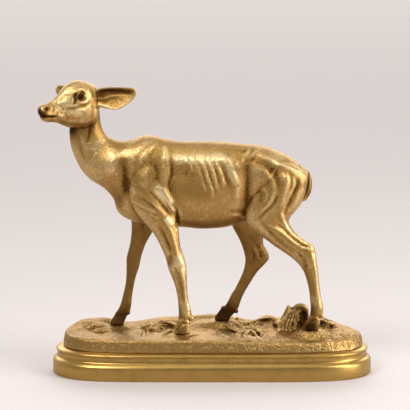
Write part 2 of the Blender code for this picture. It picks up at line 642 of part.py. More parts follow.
def add_leaf(mesh: bmesh.types.BMesh, leaf: Leaf) -> None:
    """Add one leaf that arches from its root to its tip over the earth."""
    root_x, root_y = leaf.root
    tip_x, tip_y = leaf.tip
    along = Vector((tip_x - root_x, tip_y - root_y, 0.0))
    across = Vector((-along.y, along.x, 0.0)).normalized()
    outlines = []
    for step in range(LEAF_STEPS + 1):
        share = step / LEAF_STEPS
        swell = math.sin(math.pi * min(share * 0.9 + 0.08, 1.0))
        width = leaf.half * (LEAF_STALK + (1 - LEAF_STALK) * swell)
        x = root_x + along.x * share
        y = root_y + along.y * share
        rise = leaf.arch * math.sin(math.pi * share ** 0.8) + leaf.lift * share
        middle = Vector((x, y, ground_height(x, y) + rise - LEAF_SINK))
        outline = []
        for side in range(LEAF_SIDES):
            angle = math.tau * side / LEAF_SIDES
            edge = across * width * math.cos(angle)
            outline.append(middle + edge + Vector((0.0, 0.0, LEAF_THICK * math.sin(angle))))
        outlines.append(outline)
    loft(mesh, outlines)


def add_fibre(mesh: bmesh.types.BMesh, route: tuple) -> None:
    """Add one strand of wood on the face of the stump, leaning out towards its foot."""
    rings = []
    for step, (x, z) in enumerate(route):
        y = FIBRE_FACE + FIBRE_LEAN * step
        rings.append(Ring(x - FIBRE_RADIUS, z, x + FIBRE_RADIUS, z, y, FIBRE_RADIUS))
    loft_rings(mesh, tuple(rings))


def ground_outline(inset: float, shrink: float, rise: float) -> list:
    """Return one outline of the terrace, its height a share of the rise from foot to earth."""
    foot = PLINTH_TOP + GAP
    outline = []
    for side in range(GROUND_SIDES):
        angle = math.tau * side / GROUND_SIDES
        x, y = plan_point((LENGTH / 2 - inset) * shrink, (DEPTH / 2 - inset) * shrink, angle)
        x += GROUND_SHIFT
        outline.append(Vector((x, y, foot + (ground_height(x, y) - foot) * rise)))
    return outline


def build_ground() -> None:
    """Model the terrace of earth, with its leaves, its fern and the broken stump."""
    mesh = bmesh.new()
    outlines = [
        ground_outline(GROUND_FOOT_INSET, 1.0, 0.0),
        ground_outline(GROUND_FOOT_INSET + GROUND_FOOT_CURVE, 1.0, 0.35),
        ground_outline(GROUND_RIM_INSET - GROUND_RIM_ROUND, 1.0, 0.85),
    ]
    for step in range(GROUND_RINGS):
        shrink = 1.0 - step / GROUND_RINGS
        outlines.append(ground_outline(GROUND_RIM_INSET + GROUND_RIM_ROUND, shrink, 1.0))
    loft(mesh, outlines)
    for leaf in LEAVES:
        add_leaf(mesh, leaf)
    for tip in FERN_TIPS:
        add_leaf(mesh, Leaf(FERN_ROOT, tip, FERN_HALF, FERN_ARCH, FERN_DROP))
    for wood in (STUMP, STUMP_HORN, STUMP_CORE):
        loft_rings(mesh, wood)
    for route in STUMP_FIBRES:
        add_fibre(mesh, route)
    skin = skinned("ground", mesh, GROUND_VOXEL, GROUND_SMOOTHING)
    ground = finished("ground", skin, GILT, GROUND_ROUGHNESS)
    thinned(ground, GROUND_TRIANGLES)


def plinth_profile() -> list:
    """Return the section of the plinth from the floor up, as pairs of inset and height."""
    profile = [(PLINTH_FOOT_BREAK, 0.0), (0.0, PLINTH_FOOT_BREAK), (0.0, BAND_TOP)]
    profile.extend(SHOULDER)
    edge, foot = SHOULDER[-1]
    for step in range(1, COVE_STEPS + 1):
        angle = math.radians(90 * step / COVE_STEPS)
        inset = edge + COVE_DEPTH * math.sin(angle)
        profile.append((inset, COVE_TOP - (COVE_TOP - foot) * math.cos(angle)))
    reach_in, reach_up = TORUS_REACH
    for step in range(TORUS_STEPS + 1):
        angle = math.radians(-90 + 180 * step / TORUS_STEPS)
        inset = TORUS_INSET - reach_in * math.cos(angle)
        profile.append((inset, TORUS_MIDDLE + reach_up * math.sin(angle)))
    profile.append((PLINTH_TOP_INSET, PLINTH_TOP))
    return profile


def build_plinth() -> None:
    """Model the moulded plinth: a plain band, a sloped shoulder, a cove and a torus."""
    mesh = bmesh.new()
    outlines = []
    for inset, height in plinth_profile():
        outline = []
        for side in range(PLAN_SIDES):
            angle = math.tau * (side + 0.5) / PLAN_SIDES
            x, y = plan_point(LENGTH / 2 - inset, DEPTH / 2 - inset, angle)
            outline.append(Vector((x, y, height)))
        outlines.append(outline)
    loft(mesh, outlines)
    plinth_mesh = bpy.data.meshes.new("plinth")
    mesh.to_mesh(plinth_mesh)
    mesh.free()
    plinth = finished("plinth", plinth_mesh, GILT, PLINTH_ROUGHNESS)
    plinth.data.shade_smooth()
    plinth.data.set_sharp_from_angle(angle=PLINTH_SHARP)


def main() -> None:
    """Clear the scene and build the three castings."""
    for leftover in list(bpy.data.objects):
        bpy.data.objects.remove(leftover)
    build_plinth()
    build_ground()
    build_doe()


main()
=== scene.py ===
"""Looks of a small gilt-bronze doe walking on a cast ground over a moulded oval plinth.

Sizes are in millimetres and are turned into metres as each piece is finished; the studio's are in metres.
+X runs from the doe's head to her tail, -Y is her left side and +Z is up.
"""

import logging
import math
from dataclasses import dataclass
from enum import Enum
from functools import partial
from typing import Any, Callable, NamedTuple, Sequence

import bmesh
import bpy
import numpy as np
from bmesh.types import BMesh
from mathutils import Euler, Matrix, Vector, noise


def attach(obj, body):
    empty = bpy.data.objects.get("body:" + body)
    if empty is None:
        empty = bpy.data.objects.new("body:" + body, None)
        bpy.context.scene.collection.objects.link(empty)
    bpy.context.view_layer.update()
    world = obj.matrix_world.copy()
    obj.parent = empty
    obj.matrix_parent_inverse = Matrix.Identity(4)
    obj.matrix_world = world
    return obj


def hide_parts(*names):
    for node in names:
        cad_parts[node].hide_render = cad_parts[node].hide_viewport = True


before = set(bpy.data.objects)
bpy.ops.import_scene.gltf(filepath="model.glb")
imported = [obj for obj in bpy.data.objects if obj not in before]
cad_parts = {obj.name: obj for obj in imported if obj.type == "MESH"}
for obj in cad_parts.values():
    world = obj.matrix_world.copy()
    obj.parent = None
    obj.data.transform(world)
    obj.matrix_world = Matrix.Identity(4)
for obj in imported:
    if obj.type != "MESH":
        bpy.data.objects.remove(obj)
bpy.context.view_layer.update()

log = logging.getLogger("doe")

MM = 0.001

# The frame of strokes seen from the side, which is the piece's own
LEVEL = Matrix.Identity(4)
# The frame of strokes seen from above: their second number runs to the back, and the frame's y looks down
FROM_ABOVE = Matrix(((1, 0, 0), (0, 0, 1), (0, -1, 0))).to_4x4()

# The placing of a point of a limb's frame, and of a point of the unit circle on a round
Place = Callable[[float, float, float], Vector]
RoundPlace = Callable[[float, float], Sequence]


class Face(Enum):
    """Which skin a stroke works on: its half of the piece and the way that skin looks.

    -1 is the near side and 1 the far one, and 0 is either half, looking outwards.
    """

    FLANKS = (0, 0)
    NEAR = (-1, -1)
    FAR = (1, 1)
    FAR_INNER = (1, -1)


class Section(NamedTuple):
    """One section of a limb: its front and back points, its middle, half width and taper."""

    front_x: float
    front_z: float
    back_x: float
    back_z: float
    y: float
    wide: float
    taper: float = 0.0


class Stroke(NamedTuple):
    """One tool stroke: its route seen from the side, its reach, and its height (cut when negative)."""

    route: tuple
    reach: float
    height: float
    face: Face


class Swell(NamedTuple):
    """One round knob, pit or spot: its middle, its reach, and its height or strength."""

    x: float
    y: float
    z: float
    reach: float
    height: float


class Ear(NamedTuple):
    """The lie of one ear: its root, its tip, and about the way its cup looks."""

    root: Vector
    tip: Vector
    opening: Vector

    def frame(self) -> Matrix:
        """Work out the ear's frame.

        Returns:
            The frame: x along the ear, y the way its cup looks, z across and up.
        """
        along = (self.tip - self.root).normalized()
        across = self.opening.cross(along).normalized()
        if across.z < 0:
            across = -across
        facing = across.cross(along)
        if facing.dot(self.opening) < 0:
            facing = -facing
        return Matrix.Translation(self.root) @ Matrix((along, facing, across)).transposed().to_4x4()


class Hoof(NamedTuple):
    """One cloven hoof: toe, heel, middle, sole, the coronet that it grows from, and its dewclaws."""

    toe_x: float
    heel_x: float
    y: float
    sole_z: float
    coronet_front: tuple
    coronet_back: tuple
    dewclaw: tuple


class Leaf(NamedTuple):
    """One leaf or blade on the earth: root, tip, half width, arch and lift of its tip."""

    root: tuple
    tip: tuple
    half: float
    arch: float
    lift: float


class Softbox(NamedTuple):
    """One soft light: its name, its place, width and height in metres, and its power in watts."""

    name: str
    place: tuple
    size: tuple
    power: float


def rows_of(kind: type, *rows: tuple) -> tuple:
    """Return each row of values as one of that kind."""
    return tuple(kind(*row) for row in rows)


def strokes(face: Face, *rows: tuple) -> tuple:
    """Return rows of a reach, a height and the points of a route as strokes of one face."""
    return tuple(Stroke(row[2:], row[0], row[1], face) for row in rows)


def on_both_sides(swells: tuple) -> tuple:
    """Return swells and the same ones mirrored to the other side of their frame."""
    return swells + tuple(swell._replace(y=-swell.y) for swell in swells)


# Neck and trunk, from the throat to the root of the tail: front or belly point, then crest or back
TRUNK = rows_of(
    Section,
    (-77, 141.5, -61.9, 150.5, 0, 4.6), (-77.9, 136.5, -61.5, 145, 0, 5.4),
    (-78, 131, -60.7, 137.6, 0, 5.9), (-77, 124.6, -57.8, 131.8, 0, 6.6),
    (-74.4, 118.1, -51.8, 128.7, 0, 7.6, -0.12), (-71.4, 112.4, -44.8, 129.1, 0, 8.8, -0.16),
    (-66.5, 107.2, -38.3, 131.4, 0, 10.2, -0.05), (-59.7, 102.8, -32.9, 131.7, 0, 11.6, 0.1),
    (-54.4, 97, -25.8, 129.7, 0, 12.2, 0.1), (-51, 88.4, -20.3, 128.7, 0, 12.8, 0.04),
    (-40.4, 83.2, -15.9, 128.4, 0, 13.4), (-25.9, 81.6, -9.3, 128.4, 0, 14, -0.04),
    (-14.9, 80.8, -2.8, 128.4, 0, 14.6, -0.04), (-4, 80, 3.5, 128.2, 0, 14.8),
    (9.9, 81.4, 12, 127.5, 0, 14.2, 0.06), (19, 86, 21.9, 126.6, 0, 13.2, 0.16),
    (31, 91.5, 31.7, 124.9, 0, 13.2, 0.12), (41, 94.5, 40.2, 121.2, 0, 11.6, -0.05),
    (47, 99, 46.6, 116.6, 0, 9.2), (50.5, 104, 50, 111.5, 0, 5),
)

# The legs, from the hip or the shoulder down to the fetlock: front point, then back point
NEAR_HIND = rows_of(
    Section,
    (26, 119.5, 44, 117, -4.6, 5), (21.5, 110.8, 51.8, 111.2, -6.4, 6.8),
    (19.5, 101.4, 51.6, 103.7, -7, 7.2), (18, 93.1, 48.9, 95.2, -7.2, 6.8),
    (18.6, 86.8, 44.5, 89.6, -7.5, 6), (22.4, 81.2, 42.1, 85.3, -8, 5.2),
    (32.6, 73, 46.3, 78.6, -8.4, 3.9), (42.2, 66.3, 52.4, 74, -8.6, 3.1),
    (46.2, 63, 55.4, 72.3, -8.6, 2.9), (49, 59.6, 56.9, 67.8, -8.7, 2.9),
    (50.9, 56, 57.7, 61.6, -8.8, 2.7), (53, 48.5, 59.2, 49.4, -9.1, 2.3),
    (53.8, 42.3, 60.2, 42.3, -9.4, 2.3), (54.2, 37.8, 61.2, 38.1, -9.6, 2.8),
    (54, 34.3, 60.8, 34.7, -9.7, 2.8), (53.2, 30.8, 59.5, 31.2, -9.8, 2.6),
)
FAR_HIND = rows_of(
    Section,
    (27, 119.5, 44, 115.5, 5, 6.4), (19.3, 110.4, 47.5, 103.1, 6.6, 7), (14.4, 100.3, 43.1, 93.1, 7, 7),
    (11.1, 92, 37.6, 85.2, 7.2, 6.2), (10, 85.1, 32.3, 79.5, 7.5, 5.4), (11.3, 80, 29.2, 75.8, 7.8, 4.7),
    (15.6, 71.6, 28.4, 70.2, 8, 3.7), (17.8, 65.2, 30.6, 66, 8.2, 3.1),
    (18.5, 60.9, 31.7, 61.8, 8.4, 2.9), (18, 56.9, 28.8, 57.8, 8.6, 2.9),
    (16.8, 52.8, 25.2, 53.9, 8.8, 2.7), (13.2, 45.1, 20.2, 46, 9.1, 2.3),
    (10.7, 41, 17.8, 41.6, 9.4, 2.3), (9, 37.4, 16.2, 37.8, 9.6, 2.8), (7.6, 35, 14.8, 33.6, 9.8, 2.8),
    (5, 32.2, 12.8, 30.6, 10, 2.6),
)
NEAR_FORE = rows_of(
    Section,
    (-40, 124, -27.5, 125, -4.5, 4.2), (-45.3, 114.9, -24.5, 116, -7.2, 5.4),
    (-46.4, 106.1, -23, 106.1, -8.4, 5.8), (-45.4, 98.4, -21.3, 97.3, -8.8, 5.8),
    (-42, 91.2, -19.5, 90.6, -8.8, 5.4), (-37, 85, -18.7, 84.4, -8.8, 4.8),
    (-31.4, 77.9, -17.8, 76.3, -9, 4.1), (-28.2, 71.8, -17.2, 71.5, -9.1, 3.6),
    (-25.3, 64.8, -15, 64.8, -9.2, 3.4), (-24.1, 59.5, -13.9, 59.5, -9.3, 3.3),
    (-22.3, 55.2, -13.8, 55, -9.4, 2.9), (-19.9, 48.2, -13.6, 47.8, -9.5, 2.3),
    (-18.8, 41.6, -12.9, 41.2, -9.6, 2.3), (-18.3, 35.8, -11.4, 35.4, -9.7, 2.8),
    (-18.4, 32, -11.4, 32.2, -9.8, 2.8), (-18.9, 29.2, -12.4, 29.2, -9.9, 2.6),
)
FAR_FORE = rows_of(
    Section,
    (-43, 122, -28.5, 123, 4.5, 4.2), (-48.5, 110, -26.5, 111, 7.6, 5.6),
    (-49.6, 97, -27.7, 97, 8.6, 5.6), (-47.6, 89.2, -29.6, 88, 8.6, 5.2),
    (-44.8, 83.2, -31, 82.2, 8.6, 4.5), (-44.6, 76.8, -33.2, 76.2, 8.6, 3.9),
    (-45.5, 69.5, -36.8, 69.8, 8.6, 3.4), (-47.3, 62.5, -39.2, 62.6, 8.6, 3.3),
    (-47.5, 57, -40.4, 57, 8.6, 3.1), (-47.6, 51.7, -42.2, 51.7, 8.6, 2.6),
    (-48.2, 46.6, -43.3, 46.6, 8.6, 2.3), (-49.6, 40.6, -44.4, 40.6, 8.6, 2.3),
    (-50.8, 36, -44.8, 36, 8.7, 2.8), (-52.6, 32.2, -45.6, 32, 8.8, 2.8),
    (-54.4, 29.6, -47.2, 29, 8.9, 2.6),
)

# The tail, from its root to its tip: front point, then back point
TAIL = rows_of(
    Section,
    (45, 115.6, 49.4, 114.6, 0, 2.4), (47.4, 110.8, 53.4, 111.2, -0.4, 3.2),
    (48, 106, 54.9, 106.4, -0.6, 3.4), (47, 100.6, 54.4, 100.6, -0.6, 3),
    (47, 95.2, 51.8, 95.6, -0.4, 1.8),
)

# The head in its own frame: along from the poll to the nose, and up; crown point, then jaw point
HEAD = rows_of(
    Section,
    (0.6, 0.6, 4, -11, 0, 3.2), (2, 3.8, 6.4, -14.6, 0, 4.8, 0.02), (4.6, 6.2, 8.6, -16.6, 0, 6.2, -0.05),
    (8, 8.4, 11.4, -17.2, 0, 6.9, -0.1), (12, 10, 15, -16, 0, 7.3, -0.16),
    (16, 9.8, 18.8, -14.8, 0, 6.9, -0.18), (20, 8.6, 22.7, -13.6, 0, 5.6, -0.12),
    (23.5, 6.2, 26, -11.2, 0, 4.6, 0), (27, 4.5, 28.5, -9.2, 0, 4, 0.05),
    (31.5, 3.1, 32, -7.6, 0, 3.7, 0.05), (35, 3.1, 34.8, -6.7, 0, 3.8), (36.8, 2.8, 36.4, -5.6, 0, 3.4),
    (37.7, 1.4, 37.5, -3, 0, 2.2),
)

# An ear in its own frame: along from the root to the tip; upper edge, then lower edge
EAR = rows_of(
    Section,
    (-2, 3.4, -2, -5.8, 0, 2.2), (3, 4.2, 3, -6.6, 0, 1.1), (7.5, 4.2, 7.5, -7.9, 0, 0.8),
    (12.5, 3.8, 12.5, -7.8, 0, 0.75), (17.5, 3.5, 17.5, -5.6, 0, 0.75), (20.8, 3.2, 20.8, -3.2, 0, 0.75),
    (22.3, 2.6, 22.3, -1.6, 0, 0.75), (23.2, 1.5, 23.2, -0.2, 0, 0.7),
)

NEAR_EAR = Ear(Vector((-61, -5.4, 154.2)), Vector((-41, -12.6, 156.2)), Vector((-0.25, -1, 0.1)))
FAR_EAR = Ear(Vector((-66, 5, 153.6)), Vector((-86.6, 17, 154.4)), Vector((-0.4, -0.8, 0.2)))

# The hooves: near fore, far fore, near hind and far hind
HOOVES = rows_of(
    Hoof,
    (-21.2, -12, -10, 23.4, (-19, 30), (-12.2, 29.6), (-11.2, 31.8)),
    (-57, -49, 9, 24.4, (-54.2, 30), (-47.6, 29.2), (-46.6, 31.2)),
    (49.6, 58.8, -10, 25.4, (53, 31.8), (59.5, 31.2), (60.4, 33.2)),
    (1.4, 10, 10, 26.8, (4.8, 33), (12.4, 31), (13.6, 31.8)),
)

# Neck and shoulder: hollows, the blade bone, and the muscles above the elbow
SHOULDER_STROKES = strokes(
    Face.FLANKS,
    (2.76, 0.43, (-56.5, 129), (-54.5, 123.5), (-54.5, 117), (-55.5, 110.5)),
    (2.53, -0.81, (-48, 121), (-47.4, 114), (-47.4, 107.5), (-47.5, 100)),
    (1.1, 0.5, (-32.5, 127), (-36, 123.5), (-39.5, 118.5)),
    (2.2, -0.3, (-30.5, 125.5), (-33.5, 121), (-34, 116)),
    (1.5, 0.4, (-25.8, 127.5), (-25.2, 123), (-25, 119)),
    (1.7, 0.3, (-26, 122), (-25.4, 114), (-26.5, 107.5)),
    (1.72, -0.56, (-22.2, 120.5), (-22.2, 113.5), (-23.4, 106.5), (-21.6, 100)),
    (2.4, 1.15, (-30.4, 105.8), (-26.8, 102.2), (-23.8, 98), (-22, 93.8), (-19.8, 90.8)),
    (1.38, -0.56, (-34, 103), (-29.2, 98), (-25.4, 93.2), (-22, 89.5)),
    (0.92, 0.4, (-39, 103), (-33.8, 97.8), (-30.5, 94.5), (-25.5, 89.5)),
    (1.03, 0.31, (-44.8, 104.5), (-41, 101.7)),
    (0.92, 0.31, (-43.5, 97.8), (-36.6, 94), (-30.6, 91.2)),
    (0.8, -0.28, (-41, 100.5), (-34, 96), (-29.5, 92.6)),
    (1.5, 0.2, (-34.3, 116), (-36, 112), (-36.2, 107.8), (-37.6, 104.4)),
    (2.4, -0.3, (-31, 117.5), (-30.5, 111.6), (-32.7, 106.7)),
    (2.2, -0.2, (-41, 112), (-41.5, 106.5)),
    (0.8, 0.14, (-43, 121), (-40, 116), (-38.5, 110)),
    (0.6, -0.12, (-38.5, 121), (-36, 117)),
    (1.26, -0.31, (-50.5, 99.6), (-50.6, 94), (-48.7, 89.6)),
    (1.03, -0.31, (-66, 140), (-66.8, 134.5), (-68.2, 128)),
    (1.26, 0.28, (-63.6, 147.5), (-63, 141), (-64, 133)),
    (1.49, 0.25, (-72.5, 137.5), (-71, 131), (-68, 124.5)),
    (1.15, -0.19, (-74, 134), (-72.4, 128), (-70, 120)),
) + strokes(
    Face.NEAR,
    (1.03, -0.68, (-22.4, 96.5), (-19.6, 92.5), (-18.8, 87.5), (-18.8, 82.5)),
    (1.84, 0.43, (-24, 99.5), (-22.4, 95.5), (-21.6, 91)),
    (0.69, 0.25, (-34, 90.5), (-29.5, 88)),
    (1.38, 0.5, (-25.7, 88.6), (-23.5, 86.4), (-21.9, 83.6)),
)

# Ribs, loin, hip and flank
FLANK_STROKES = strokes(
    Face.FLANKS,
    (3.2, 0.56, (-25.1, 120.9), (-14.7, 120.1), (-3.9, 120), (7, 120.3), (15.2, 119.2)),
    (4, -0.4, (-23, 114), (-12, 112)),
    (0.92, 0.3, (-14.2, 120), (-11.5, 116.2), (-10.4, 112.3)),
    (0.95, 0.34, (-10.9, 120.5), (-8.2, 116.7), (-6.6, 111.8), (-4.9, 106.8), (-3.9, 103)),
    (1.1, -0.2, (-8.6, 118.5), (-5.9, 114.5), (-4.2, 109), (-3, 104.5)),
    (0.95, 0.36, (-4.9, 118.9), (-3.3, 113.4), (-1.9, 108.5), (0, 103.5), (0.5, 99.6)),
    (1, -0.22, (-3, 117), (-1.5, 112), (0.2, 106.5), (1.6, 102)),
    (0.95, 0.34, (-1.1, 118.4), (0.5, 113.4), (1.9, 108.5), (3.2, 103.5)),
    (1, -0.22, (0.8, 117), (2.4, 112), (3.8, 106.5)),
    (0.9, 0.36, (2.7, 117.8), (4.3, 114), (5.4, 110.1), (6.5, 105.2)),
    (1.49, -0.25, (5, 117), (7.2, 111.5), (9, 106.5)),
    (2.3, 0.75, (5.4, 121.5), (8.9, 117.3), (10.3, 113.4), (11.9, 109.6), (13.6, 106.5)),
    (1.6, 0.4, (13.4, 105.5), (13.6, 99)),
    (1.15, 0.5, (20.1, 124.7), (19, 122.2), (16.8, 120), (14.7, 117.8), (13, 115.3)),
    (1.9, 0.75, (24.4, 124.6), (27.2, 122.1), (31.5, 119.6), (35.9, 117.2), (41.3, 115.6), (50.5, 112.8)),
    (1.03, 0.5, (24.4, 124.1), (21.2, 121.6), (19, 119.7)),
    (2.76, -0.62, (19.2, 117.8), (18.9, 110.1), (18.9, 102.4), (18.6, 94.5)),
    (1.84, -0.37, (16.4, 119.2), (20.5, 120.4), (24.5, 119.6)),
    (1.26, -0.28, (9.6, 91.6), (14.7, 90.9), (18.9, 90)),
    (1.03, 0.37, (10.4, 88.9), (14.2, 88.6), (17.4, 86.2)),
    (3, -0.7, (23.5, 119.5), (29.3, 116.4), (33, 113)),
    (1.26, 0.46, (26.6, 116.2), (30.9, 110.8), (33.3, 105.9), (33.1, 100.9), (30.4, 95.4), (27.2, 92.1)),
    (0.92, 0.28, (27.2, 104.2), (29.9, 101.5), (28.8, 97)),
    (1.61, -0.31, (25, 103), (26.6, 99.8), (25.3, 95.9)),
    (1.15, -0.43, (35.4, 101), (33.2, 95.6), (29, 91.4), (25.8, 87.7)),
    (2.2, -0.4, (31.5, 115.6), (34.8, 111.8), (36.3, 104.6)),
    (1.6, -0.15, (38, 114.5), (36.2, 109)),
    (1.38, 0.37, (39.1, 113.4), (40.2, 107.9), (39.2, 101.3), (37.6, 95.2)),
    (0.8, -0.22, (41.9, 113.3), (43, 108.9), (41.9, 103.3)),
    (1.15, -0.56, (45.7, 109.8), (46.3, 105.9), (44.1, 101), (41.4, 94.9), (39.8, 90.5)),
    (1.15, 0.28, (49, 108.5), (49.1, 103), (46.4, 97.5), (43.7, 93.1)),
    (0.6, -0.8, (53.4, 113), (53.3, 108), (52.2, 102.5), (49.6, 96.5)),
    (0.57, -0.15, (11, 124.6), (17.6, 124.6), (20.4, 126)),
    (0.46, -0.15, (15.4, 123.4), (18.7, 124.6)),
    (0.57, 0.19, (16, 122), (19.2, 123.4), (20.9, 125.1)),
    (1.61, -0.31, (-18, 84.5), (-2, 83), (10, 84.5)),
)

# Tendons, knees and hocks, each on its own leg
LEG_STROKES = strokes(
    Face.NEAR,
    (0.95, 0.52, (-27, 89.5), (-23.5, 83), (-21.5, 78.6), (-19.8, 71.8), (-18.6, 66)),
    (1.26, -0.3, (-29, 84), (-25.5, 77), (-22.6, 70)),
    (0.63, -0.22, (-26.6, 80.5), (-24, 73.5), (-22.6, 69)),
    (1.16, 0.6, (-18.8, 67.5), (-17.2, 62.6)),
    (0.9, -0.25, (-22.5, 67.5), (-22.3, 63)),
    (0.73, -0.3, (-20.5, 60.5), (-18, 56), (-16.6, 49), (-15.8, 41)),
    (0.84, 0.26, (-17.2, 60), (-15.2, 52), (-14.4, 44)),
    (1.05, 0.3, (-13.2, 40), (-12.8, 36)),
    (0.42, -0.32, (-19.8, 24.6), (-18, 27.4), (-15.4, 29.8)),
    (0.6, 0.25, (-18.6, 24.4), (-16.6, 27), (-13.6, 28.6)),
    (0.7, 0.35, (-19.4, 29.6), (-15.6, 30.8), (-12.2, 29.4)),
    (0.45, -0.35, (51.4, 26), (53.2, 29), (55.6, 31)),
    (0.7, 0.35, (53, 31.6), (56, 32.4), (59.4, 31)),
    (1.05, 0.68, (37.6, 91.5), (38.9, 87), (41.5, 81.4), (44.5, 77.5)),
    (0.73, 0.52, (31.6, 84.2), (37.2, 80.6), (41.6, 77), (45.6, 73.8), (50, 71.2)),
    (0.84, -0.52, (35.5, 84.5), (40, 81.2), (44.2, 77), (48.6, 73.2), (52, 72)),
    (1.05, -0.26, (27.2, 85.8), (32.7, 79), (38.8, 73.6)),
    (0.84, 0.45, (48, 72), (52, 70.6), (54.6, 69.8)),
    (0.95, 0.34, (53.6, 69.6), (55.6, 64), (57.2, 56), (57.8, 46)),
    (1, -0.22, (50.5, 64.5), (51.6, 60)),
    (0.73, -0.3, (53.4, 60), (55.2, 52), (56.4, 44)),
    (0.84, -0.3, (47, 69), (49, 66)),
) + strokes(
    Face.FAR_INNER,
    (1.05, -0.2, (-43.5, 64.5), (-43.2, 60.5)),
    (1.26, 0.38, (-42.5, 88), (-40.5, 78), (-41.5, 68)),
    (1.1, -0.28, (-38.5, 84), (-37.5, 76), (-39.5, 68)),
    (0.73, -0.3, (-45, 58), (-44.8, 48), (-47, 39)),
    (0.95, 0.6, (22.4, 69), (24.4, 65.5), (25.6, 61)),
    (1.2, -0.3, (20.6, 76), (23, 72), (26.5, 68)),
    (1.3, -0.25, (27, 66.5), (28, 62.5)),
    (1.1, -0.25, (20.8, 60), (22.2, 55), (17.8, 46)),
) + strokes(
    Face.FAR,
    (1.26, 0.45, (-42, 88), (-38.5, 78), (-41, 68)),
    (0.73, -0.3, (-45, 58), (-44.8, 48), (-47, 39)),
    (1.26, 0.52, (28, 90), (24.5, 80), (25, 70)),
    (1.26, -0.45, (20, 88), (20, 78), (23, 68)),
    (0.84, -0.38, (22, 66), (22.5, 58), (17, 45)),
)

# Knuckles and pits of the doe
DOE_SWELLS = rows_of(
    Swell,
    (-11.2, -15, 112.6, 1, -0.6), (-1.4, -15, 111.4, 0.8, -0.5), (50.6, -11.6, 63.9, 0.7, -0.25),
    (51.2, -11.6, 61.2, 0.7, -0.25), (48.4, -11.6, 66.7, 0.7, -0.2), (-22.5, -12.6, 66.6, 0.8, -0.25),
    (-22.5, -12.6, 63.9, 0.8, -0.2), (-17.2, -11, 62.5, 2, 0.35), (54.6, -10.5, 70.6, 1.6, 0.4),
    (29.6, 6, 65, 1.8, 0.3), (52.6, -11.8, 28.6, 2.2, 0.6), (57.4, -11.8, 29.6, 1.8, 0.4),
)

# Lids, sockets, crests, nostril and mouth, in the head's own frame, and the pit of each pupil
HEAD_STROKES = strokes(
    Face.FLANKS,
    (0.7, 0.48, (18, 4.4), (15.6, 6), (12.8, 5.9), (11, 4)),
    (0.5, -0.48, (17.2, 3.6), (15.4, 4.5), (13, 4.4), (12, 2.8)),
    (0.8, 0.56, (17.6, 0.4), (15.4, -0.9), (12.6, -1.4), (10.8, -0.4)),
    (0.45, -0.4, (17.4, 1.7), (15.4, 0.5), (13.2, 0.2), (12, 1.2)),
    (0.7, -0.64, (17.2, 4.4), (18.2, 2.6), (18.6, 0.6)),
    (1.4, 0.28, (9.6, 4.6), (9, 2), (9.6, -0.6)),
    (0.9, -0.2, (6.2, 5), (6, 2), (6.4, -1)),
    (1.6, 0.32, (17.2, -1.1), (20.4, -0.2), (23.4, 1), (26.8, 2.6)),
    (0.9, -0.24, (9, -2.8), (12, -3), (17.8, -2.9), (23.2, -2), (27, -1.2)),
    (1.2, 0.4, (22.6, -4.8), (19, -4), (15.4, -4.9), (13.4, -6.6)),
    (1.2, -0.16, (24.2, -3.6), (24.6, -6.2), (24.2, -8.6)),
    (1.6, 0.2, (11.6, -3.6), (12, -7), (12.6, -10)),
    (1.1, -0.26, (9, -3.4), (9.4, -8), (10.8, -12)),
    (1.6, 0.2, (18, -11.6), (14, -12.6), (11, -12.4)),
    (1.6, -0.2, (26, -6.6), (21, -8.6), (17, -9.6)),
    (1.6, 0.22, (20.4, -4.6), (18, -6), (16.4, -7.2)),
    (1, 0.28, (29.4, -3.4), (27.8, -4.8), (26.2, -5.4)),
    (0.5, -0.68, (39.4, -1.6), (36.6, -2.6), (34.2, -3.4), (29.4, -4.8)),
    (0.8, 0.24, (37, -4.6), (33.4, -5.4), (30.4, -6.4)),
    (0.5, -0.72, (35.4, 1.7), (34.2, 1.6), (33.4, 0.7)),
    (0.6, 0.28, (35.8, 2.9), (33.8, 2.7), (32, 1.6), (31.4, 0)),
    (0.8, -0.24, (32, -2), (30.8, 0.4), (30, 2.2)),
    (1.2, -0.2, (20, 5.4), (24.5, 3.6), (29, 2.2)),
)
HEAD_SWELLS = on_both_sides(rows_of(Swell, (15, 9.6, 2.4, 0.8, -0.6)))

# The rolled rim of an ear and the hollow under it, on the cup's side of the ear's own frame
EAR_STROKES = strokes(
    Face.FAR,
    (0.8, 0.45, (-1, 3.4), (6, 4), (14, 3.6), (22, 2.4)),
    (1.2, -0.75, (0, 1.8), (6, 2), (12, 1.4), (18, 0.6)),
    (0.8, 0.45, (-1, -1.4), (3, -1.6), (7, -0.6), (11, -0.4)),
    (1.2, 0.5, (-1, -4.4), (2, -5.4), (6, -6.4)),
)

# The shoulders, where the chased hair is cut deeper
COAT = on_both_sides(rows_of(Swell, (-50, -10, 114, 16, 1)))

# Dark patina of the muzzle, the eyes, the chin and the poll, and patina with painted shade under the jaw, in
# the head's own frame
HEAD_PATINA_AND_SHADE = rows_of(
    Swell,
    (38.4, 0.6, -0.4, 2.4, 0.8), (37, 1.8, -1, 3, 0.42), (36, 3.2, -1.6, 1.5, 0.5),
    (32.6, 3.6, 0.6, 2, 0.3), (33, 3, -5.4, 2.6, 0.35), (3.4, 6.4, -2, 2.6, 0.35),
    # The last of these is patina with painted shade under the jaw
    (26, 0, -9.5, 3.4, 0.25), (10, 0, -18.5, 6, 0.4),
) + on_both_sides(rows_of(
    Swell,
    (34.2, 3.4, 1.2, 1.1, 1.1), (14.8, 8.2, 2.4, 1.5, 1.1), (15.2, 8, 2.4, 2.6, 0.6),
    (18, 6.4, 2.4, 1.1, 0.5),
))
